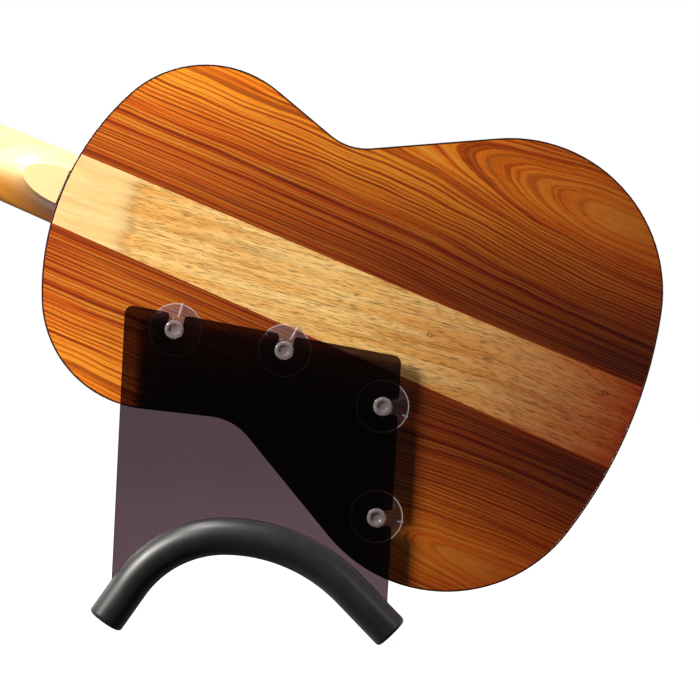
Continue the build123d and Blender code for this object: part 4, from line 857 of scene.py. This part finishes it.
def roller_place(number):
    """Distance from the nut and height of a roller's axis, in the head's directions."""
    node = f"string_roller_{number}"
    return (middle(node, HEAD_ALONG) - NUT_BACK.dot(HEAD_ALONG), middle(node, HEAD_UP) - NUT_BACK.dot(HEAD_UP))


def string_route(string, f):
    """Points of one taut string: through the tie block, over the saddle and nut, to its roller."""
    diameter, saddle_v, nut_v, roller, offset = string
    radius = diameter / 2 * MM
    start = span("bridge", ALONG)[0] - TAIL.dot(ALONG)
    face = span("soundboard_bass", DEPTH)[1] - TAIL.dot(DEPTH)
    saddle_u = middle("saddle", ALONG) - TAIL.dot(ALONG)
    saddle_w = span("saddle", DEPTH)[1] - TAIL.dot(DEPTH)
    nut_u = middle("nut", ALONG) - TAIL.dot(ALONG)
    board = span("fingerboard", DEPTH)[1] - TAIL.dot(DEPTH)
    hole = face + f.tie_hole
    body = on_guitar([
        (start - 1 * MM, saddle_v * MM, hole), (start + f.block_length + 1 * MM, saddle_v * MM, hole),
        (saddle_u, saddle_v * MM, saddle_w + radius + 0.3 * MM), (nut_u, nut_v * MM, board + 1.7 * MM + radius)])
    along, height = roller_place(roller)
    return np.vstack([body, on_head([(along, offset * MM, height + f.roller_radius + radius + 0.3 * MM)])])


def eased(points, bend):
    """A route whose corners are quadratic curves that start and end a short way from each corner."""
    parts = [points[:1]]
    t = np.linspace(0, 1, 9)[:, None]
    for before, corner, after in zip(points[:-2], points[1:-1], points[2:]):
        near = corner + (before - corner) / np.linalg.norm(before - corner) * bend
        far = corner + (after - corner) / np.linalg.norm(after - corner) * bend
        parts.append((1 - t) ** 2 * near + 2 * t * (1 - t) * corner + t**2 * far)
    return np.vstack(parts + [points[-1:]])


def tie_route(string, f):
    """Points of one knot at the tie block: out of the hole, back over the block, round its own string and under
    itself. Places are distances along the block, sideways and up, in string widths where the string turns."""
    diameter, v = string[0] * MM, string[1] * MM
    start = span("bridge", ALONG)[0] - TAIL.dot(ALONG)
    face = span("soundboard_bass", DEPTH)[1] - TAIL.dot(DEPTH)
    hole, top, front = face + f.tie_hole, face + f.block_top + diameter * 0.62, start + f.block_length
    turn = 1.25 * diameter
    return on_guitar([
        (start - 0.4 * MM, v, hole), (start - 1.5 * MM, v + 0.1 * MM, hole + 1.2 * MM),
                      (start - 0.7 * MM, v + 0.2 * MM, top - 0.3 * MM),
        (start + 0.3 * f.block_length, v + 0.3 * MM, top), (start + 0.8 * f.block_length, v + 0.4 * MM, top),
        (front + 0.9 * MM, v + turn, top - 0.8 * MM), (front + 1.5 * MM, v + turn, hole - 0.2 * MM),
        (front + 1.6 * MM, v, hole - turn), (front + 1.6 * MM, v - turn, hole + 0.4 * MM),
        (front + 1.0 * MM, v - turn * 0.8, top - 0.5 * MM),
                      (start + 0.75 * f.block_length, v - turn * 0.9, top + 0.05 * MM),
        (start + 0.45 * f.block_length, v - turn * 1.2, top + diameter * 0.1),
                      (start + 0.12 * f.block_length, v - turn * 1.6, top),
        (start - 0.9 * MM, v - turn * 1.7, top - 0.9 * MM), (start - 1.3 * MM, v - turn * 1.8, hole + 1.5 * MM)])


def winding_route(string, f, turns=3.4):
    """Coils of one string on its roller: a helix a string's width apart, from the top of the roller towards its
    middle, whose last part turns down into the barrel."""
    diameter, roller, offset = string[0] * MM, string[3], string[4] * MM
    along, height = roller_place(roller)
    angle = np.linspace(0, 2 * np.pi * turns, int(22 * turns))
    radius = f.roller_radius + diameter / 2 + 0.0001 - np.clip(angle / (2 * np.pi) - turns + 0.12, 0, 1) * 0.02
    inward = -math.copysign(1, offset) * diameter * 1.08 * angle / (2 * np.pi)
    return on_head(np.stack([along + radius * np.sin(angle), offset + inward, height + radius * np.cos(angle)], 1))


def build_button(number, material):
    """Tuner button: an oval section whose half sizes grow from a round collar to a full oval and close in a
    rounded end, along the worm's axis. A section's point at angle a is (A |cos a|^p, B |sin a|^p)."""
    node = f"tuner_button_{number}"
    wide, thick, tall = (span(node, d) for d in (HEAD_ALONG, ACROSS, HEAD_UP))
    half_a, half_b, length = (wide[1] - wide[0]) / 2, (thick[1] - thick[0]) / 2, tall[1] - tall[0]
    part = np.linspace(0, 1, 40)
    part = 0.5 - 0.5 * np.cos(np.pi * part)
    flare = np.clip((part - 0.16) / 0.34, 0, 1)
    flare = flare * flare * (3 - 2 * flare)
    close = np.sqrt(np.clip(1 - np.clip((part - 0.62) / 0.38, 0, 1) ** 2.6, 0, 1))
    open_up = np.sqrt(np.clip(1 - np.clip(1 - part / 0.05, 0, 1) ** 2, 0, 1))
    a = (0.0036 + (half_a - 0.0036) * flare) * close * open_up
    b = (0.0036 + (half_b - 0.0036) * flare) * close * open_up
    angle = np.linspace(0, 2 * np.pi, 56, endpoint=False)
    power = 0.86
    x = a[:, None] * np.sign(np.cos(angle)) * np.abs(np.cos(angle)) ** power
    y = b[:, None] * np.sign(np.sin(angle)) * np.abs(np.sin(angle)) ** power
    z = np.broadcast_to((tall[1] - length * part)[:, None], x.shape)
    places = np.stack([x + sum(wide) / 2, y + sum(thick) / 2, z], -1)
    points = places @ np.array([HEAD_ALONG, ACROSS, HEAD_UP])
    button = make_piece(f"button_{number}", points, grid_faces(40, 56, wrap=True), material, crease=60)
    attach(button, f"tuner_knob_{number}")
    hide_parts(node)


def paint(nodes, material):
    """Gives CAD nodes a material in place of their own."""
    for node in nodes:
        for slot in range(len(frame["nodes"][node].data.materials)):
            frame["nodes"][node].data.materials[slot] = material


# ------------------------------------------------------------------ operators
class GUITAR_REST_OT_plate(Operator):
    """Make the smoked plate with polished edges"""

    bl_idname = "guitar_rest.plate"
    bl_label = "Smoked plate"

    def execute(self, context):
        s = context.scene.guitar_rest_support
        edged_copy("support_plate", "smoked_plate", s.plate_edge, smoked_acrylic("smoked_cast_acrylic", s))
        return {"FINISHED"}


class GUITAR_REST_OT_foam(Operator):
    """Make the foam sleeve on the arch"""

    bl_idname = "guitar_rest.foam"
    bl_label = "Foam sleeve"

    def execute(self, context):
        build_foam_sleeve(context.scene.guitar_rest_support)
        return {"FINISHED"}


class GUITAR_REST_OT_cups(Operator):
    """Make the four suction cups"""

    bl_idname = "guitar_rest.cups"
    bl_label = "Suction cups"

    def execute(self, context):
        s = context.scene.guitar_rest_support
        material = clear_vinyl("clear_moulded_vinyl", s)
        for number in range(1, 5):
            build_suction_cup(number, s, material)
        return {"FINISHED"}


class GUITAR_REST_OT_woods(Operator):
    """Finish the guitar's wooden parts"""

    bl_idname = "guitar_rest.woods"
    bl_label = "Woods"

    def execute(self, context):
        w = context.scene.guitar_rest_woods
        paint(["back_panel_upper", "back_panel_lower"], back_hardwood("lacquered_figured_hardwood", w))
        paint(["side_upper", "side_lower"], back_hardwood("lacquered_bent_side_hardwood", w, sides=True))
        paint(["back_center_panel"], centre_strip_wood("lacquered_pale_open_pored_wood", w))
        paint(["end_graft"], straight_wood("lacquered_pale_graft", w.strip_light, w.strip_body, 1.6, 0.6, 0.3))
        paint(["soundboard_bass", "soundboard_treble"],
              straight_wood("varnished_spruce_top", w.spruce_light, w.spruce_line, w.spruce_grain / MM, 0.5, 0.3,
                            True, 0.25))
        bare = straight_wood("bare_spruce", w.spruce_light, w.spruce_line, 2.0, 0.0, 0.6, speckle=0.15)
        paint(["linings", "back_braces", "soundboard_braces", "soundboard_patches"], bare)
        paint(["neck_block", "tail_block"],
              straight_wood("bare_mahogany_block", linear("#B9784A"), linear("#7A4526"), 2.4, 0.0, 0.6))
        paint(["neck"], straight_wood("gloss_maple_neck", w.neck_light, w.neck_body, 3.2, 0.5, 0.36, speckle=0.1,
                                      contrast=0.5,
                                        amber=w.neck_amber, stain=w.neck_stain))
        cap = straight_wood("gloss_maple_heel_cap", w.strip_smooth, w.neck_light, 2.4, 0.6, 0.3, contrast=0.5)
        edged_copy("heel_cap", "heel_cap_edged", 0.5 * MM, cap)
        paint(["rosette"], inlay_rings("inlaid_rosette", w))
        trim = straight_wood("stained_wood_binding", w.trim, dimmer(w.trim, 0.35), 0.9, 0.7, 0.25)
        edged_copy("bindings", "edge_bindings", 0.3 * MM, trim)
        rosewood = straight_wood("oiled_rosewood", w.bridge_body, w.bridge_line, 2.2, 0.15, 0.38, contrast=0.9)
        edged_copy("bridge", "bridge_edged", 0.4 * MM, rosewood)
        edged_copy("head_veneer", "head_veneer_edged", 0.3 * MM, rosewood)
        ebony = straight_wood("polished_ebony", w.ebony_body, linear("#2C1C14"), 3.0, 0.1, 0.36, contrast=0.6)
        edged_copy("fingerboard", "fingerboard_edged", 0.3 * MM, ebony)
        return {"FINISHED"}


class GUITAR_REST_OT_fittings(Operator):
    """Finish the frets, nut, saddle and tuning machines, and make the buttons"""

    bl_idname = "guitar_rest.fittings"
    bl_label = "Fittings"

    def execute(self, context):
        f = context.scene.guitar_rest_fittings
        bone = hard_plastic("buffed_bone", f.bone, 0.3)
        paint(["nut", "saddle", "tie_block_strips"], bone)
        paint(["frets"], bright_metal("polished_nickel_silver", f.nickel, 0.2))
        brass = bright_metal("gilt_stamped_brass", f.brass, 0.24)
        edged_copy("tuner_plate_treble", "tuner_plate_treble_edged", 0.25 * MM, brass)
        edged_copy("tuner_plate_bass", "tuner_plate_bass_edged", 0.25 * MM, brass)
        paint(["tuner_plate_screws"] + [f"tuner_worm_{n}" for n in range(1, 7)], brass)
        paint([f"tuner_cog_{n}" for n in range(1, 7)], bright_metal("cut_brass_cog", f.brass, 0.32, 1.4))
        paint([f"string_roller_{n}" for n in range(1, 7)], hard_plastic("moulded_roller", f.roller, 0.3))
        pearl = hard_plastic("pearloid_button", f.pearl, 0.16, 1.0, linear("#C9BDA6"), 4.0, 0.6)
        for number in range(1, 7):
            build_button(number, pearl)
        return {"FINISHED"}


class GUITAR_REST_OT_strings(Operator):
    """Make the six strings, their knots and their coils on the rollers"""

    bl_idname = "guitar_rest.strings"
    bl_label = "Strings"

    def execute(self, context):
        f = context.scene.guitar_rest_fittings
        nylon = clear_nylon("drawn_nylon", f.nylon)
        wire = wound_string("silvered_wound_wire", f.wire, f.winding)
        for name, chosen, material, slot in (("treble_strings", STRINGS[:3], nylon, "nylon"),
                                             ("bass_strings", STRINGS[3:], wire, "silvered_wire")):
            runs = [tube(eased(string_route(s, f), 2.2 * MM), s[0] / 2 * MM, 12) for s in chosen]
            points, faces, along = gather(runs)
            piece = make_piece(name.replace("_", "_run_", 1), points, faces, material, {"along": along}, crease=60)
            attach(piece, "guitar")
            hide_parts(name)
            knots = [tube(smooth_route(tie_route(s, f), 6), s[0] / 2 * MM, 10,
                          hint=(0.31, 0.44, 0.84)) for s in chosen]
            points, faces, along = gather(knots)
            tied = make_piece(name.replace("strings", "knots"), points, faces, material, {"along": along},
                              crease=60)
            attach(tied, "guitar")
            for string in chosen:
                points, faces, along = tube(winding_route(string, f), string[0] / 2 * MM, 10)
                coil = make_piece(f"string_coil_{string[3]}", points, faces, material, {"along": along}, crease=60)
                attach(coil, f"tuner_roller_{string[3]}")
        return {"FINISHED"}


class GUITAR_REST_OT_stage(Operator):
    """Set up the pale floor, soft studio lights and the camera"""

    bl_idname = "guitar_rest.stage"
    bl_label = "Stage"

    def execute(self, context):
        g = context.scene.guitar_rest_stage
        scene = context.scene
        low, high = (Vector(c) for c in CAD_BOX)
        level = low.z - 0.0005
        half = g.floor_half
        material, add = new_material("painted_studio_floor", g.floor)
        place = row_place(add)
        grain = streaks(add, place, (40, 40, 40), 1.0, 4.0)
        colour = add("Mix", add("MapRange", grain, 0.3, 0.7, 0.0, 0.5), g.floor, dimmer(g.floor, 0.985))
        # the floor is lit evenly from below its white sheet, so only part of its light comes from the lamps
        dimmed = add("Mix MULTIPLY", 1.0, colour, [g.floor_lit] * 3)
        surface = add("BsdfPrincipled", {"Base Color": dimmed, "Roughness": 0.9, "Specular IOR Level": 0.0,
                                         "Emission Color": colour, "Emission Strength": g.floor_glow})
        add("OutputMaterial", surface, out=None)
        corners = [(-half, -half, level), (half, -half, level), (half, half, level), (-half, half, level)]
        floor = make_piece("studio_floor", corners, [[0, 1, 2, 3]], material)
        floor.visible_diffuse = floor.visible_glossy = False

        def area_light(name, at, aim, power, size, colour):
            """A square lamp at a place, turned towards another."""
            lamp = bpy.data.lights.new(name, "AREA")
            lamp.energy, lamp.size, lamp.color = power, size, colour
            holder = bpy.data.objects.new(name, lamp)
            holder.location = at
            holder.rotation_euler = (Vector(aim) - Vector(at)).to_track_quat("-Z", "Y").to_euler()
            scene.collection.objects.link(holder)

        middle_point = Vector((0.08, 0.0, 0.18))
        area_light("key_light", (-1.05, -0.85, 0.95), middle_point - Vector((0.14, 0, 0)), g.key, 0.45,
                   (1.0, 0.97, 0.93))
        area_light("fill_light", (1.9, -1.5, 1.1), middle_point, g.fill, 0.9, (1.0, 1.0, 1.0))
        area_light("top_light", (-0.35, -0.3, 1.35), Vector((0, 0, 0)), g.top, 0.35, (1.0, 0.98, 0.96))
        area_light("rear_light_left", (-1.1, 1.5, 1.4), middle_point, g.rear, 1.2, (1.0, 1.0, 1.0))
        area_light("rear_light_right", (1.4, 1.6, 0.9), middle_point, g.rear * 0.6, 1.2, (1.0, 1.0, 1.0))

        world = bpy.data.worlds.new("white_studio")
        scene.world = world
        world.use_nodes = True
        world.node_tree.nodes.clear()
        add = partial(put, world.node_tree)
        toward = add("SeparateXYZ", add("TexCoord", out="Generated"), out=None).outputs
        sweep = add("Math MULTIPLY", add("MapRange", toward[1], -0.35, 0.5, 0.035, 0.75),
                    add("MapRange", toward[2], -0.5, 0.15, 0.12, 1.0))
        seen = add("LightPath", out="Is Camera Ray")
        strength = add("Mix", seen, sweep, 1.0, data_type="FLOAT")
        shown = add("Background", {"Color": (1, 1, 1), "Strength": strength})
        add("OutputWorld", shown, out=None)

        camera = bpy.data.objects.new("camera", bpy.data.cameras.new("camera"))
        camera.data.lens, camera.data.sensor_width = g.lens, 36.0
        camera.data.clip_start, camera.data.clip_end = 0.05, 60.0
        camera.location = (g.camera_x, span("bindings", DEPTH)[0] - g.camera_reach, g.camera_z)
        camera.rotation_euler = (math.radians(90), 0, 0)
        scene.collection.objects.link(camera)
        scene.camera = camera
        scene.view_settings.view_transform = "Standard"
        return {"FINISHED"}


class GUITAR_REST_PT_panel(Panel):
    """Lists the guitar and rest's pieces and their sizes and colours"""

    bl_label = "Guitar on a thigh rest"
    bl_idname = "GUITAR_REST_PT_panel"
    bl_space_type = "VIEW_3D"
    bl_region_type = "UI"
    bl_category = "Guitar rest"

    def draw(self, context):
        for settings in SETTINGS:
            group = getattr(context.scene, settings)
            box = self.layout.box()
            for name in group.bl_rna.properties.keys():
                if name not in ("rna_type", "name"):
                    box.prop(group, name)
        for operator in OPERATORS:
            self.layout.operator(operator.bl_idname)


SETTINGS = {"guitar_rest_woods": WoodSettings, "guitar_rest_fittings": FittingSettings,
            "guitar_rest_support": RestSettings, "guitar_rest_stage": StageSettings}
OPERATORS = (GUITAR_REST_OT_plate, GUITAR_REST_OT_foam, GUITAR_REST_OT_cups, GUITAR_REST_OT_woods,
             GUITAR_REST_OT_fittings, GUITAR_REST_OT_strings, GUITAR_REST_OT_stage)


def register():
    """Adds the settings, operators and panel."""
    for group in SETTINGS.values():
        bpy.utils.register_class(group)
    for operator in (*OPERATORS, GUITAR_REST_PT_panel):
        bpy.utils.register_class(operator)
    for name, group in SETTINGS.items():
        setattr(bpy.types.Scene, name, PointerProperty(type=group))


def unregister():
    """Removes the panel, operators and settings."""
    for name in SETTINGS:
        delattr(bpy.types.Scene, name)
    for added in (GUITAR_REST_PT_panel, *reversed(OPERATORS), *SETTINGS.values()):
        bpy.utils.unregister_class(added)


def main():
    """Registers the add-on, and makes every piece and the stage."""
    register()
    bpy.ops.guitar_rest.plate()
    bpy.ops.guitar_rest.foam()
    bpy.ops.guitar_rest.cups()
    bpy.ops.guitar_rest.woods()
    bpy.ops.guitar_rest.fittings()
    bpy.ops.guitar_rest.strings()
    bpy.ops.guitar_rest.stage()


if __name__ == "__main__":
    main()
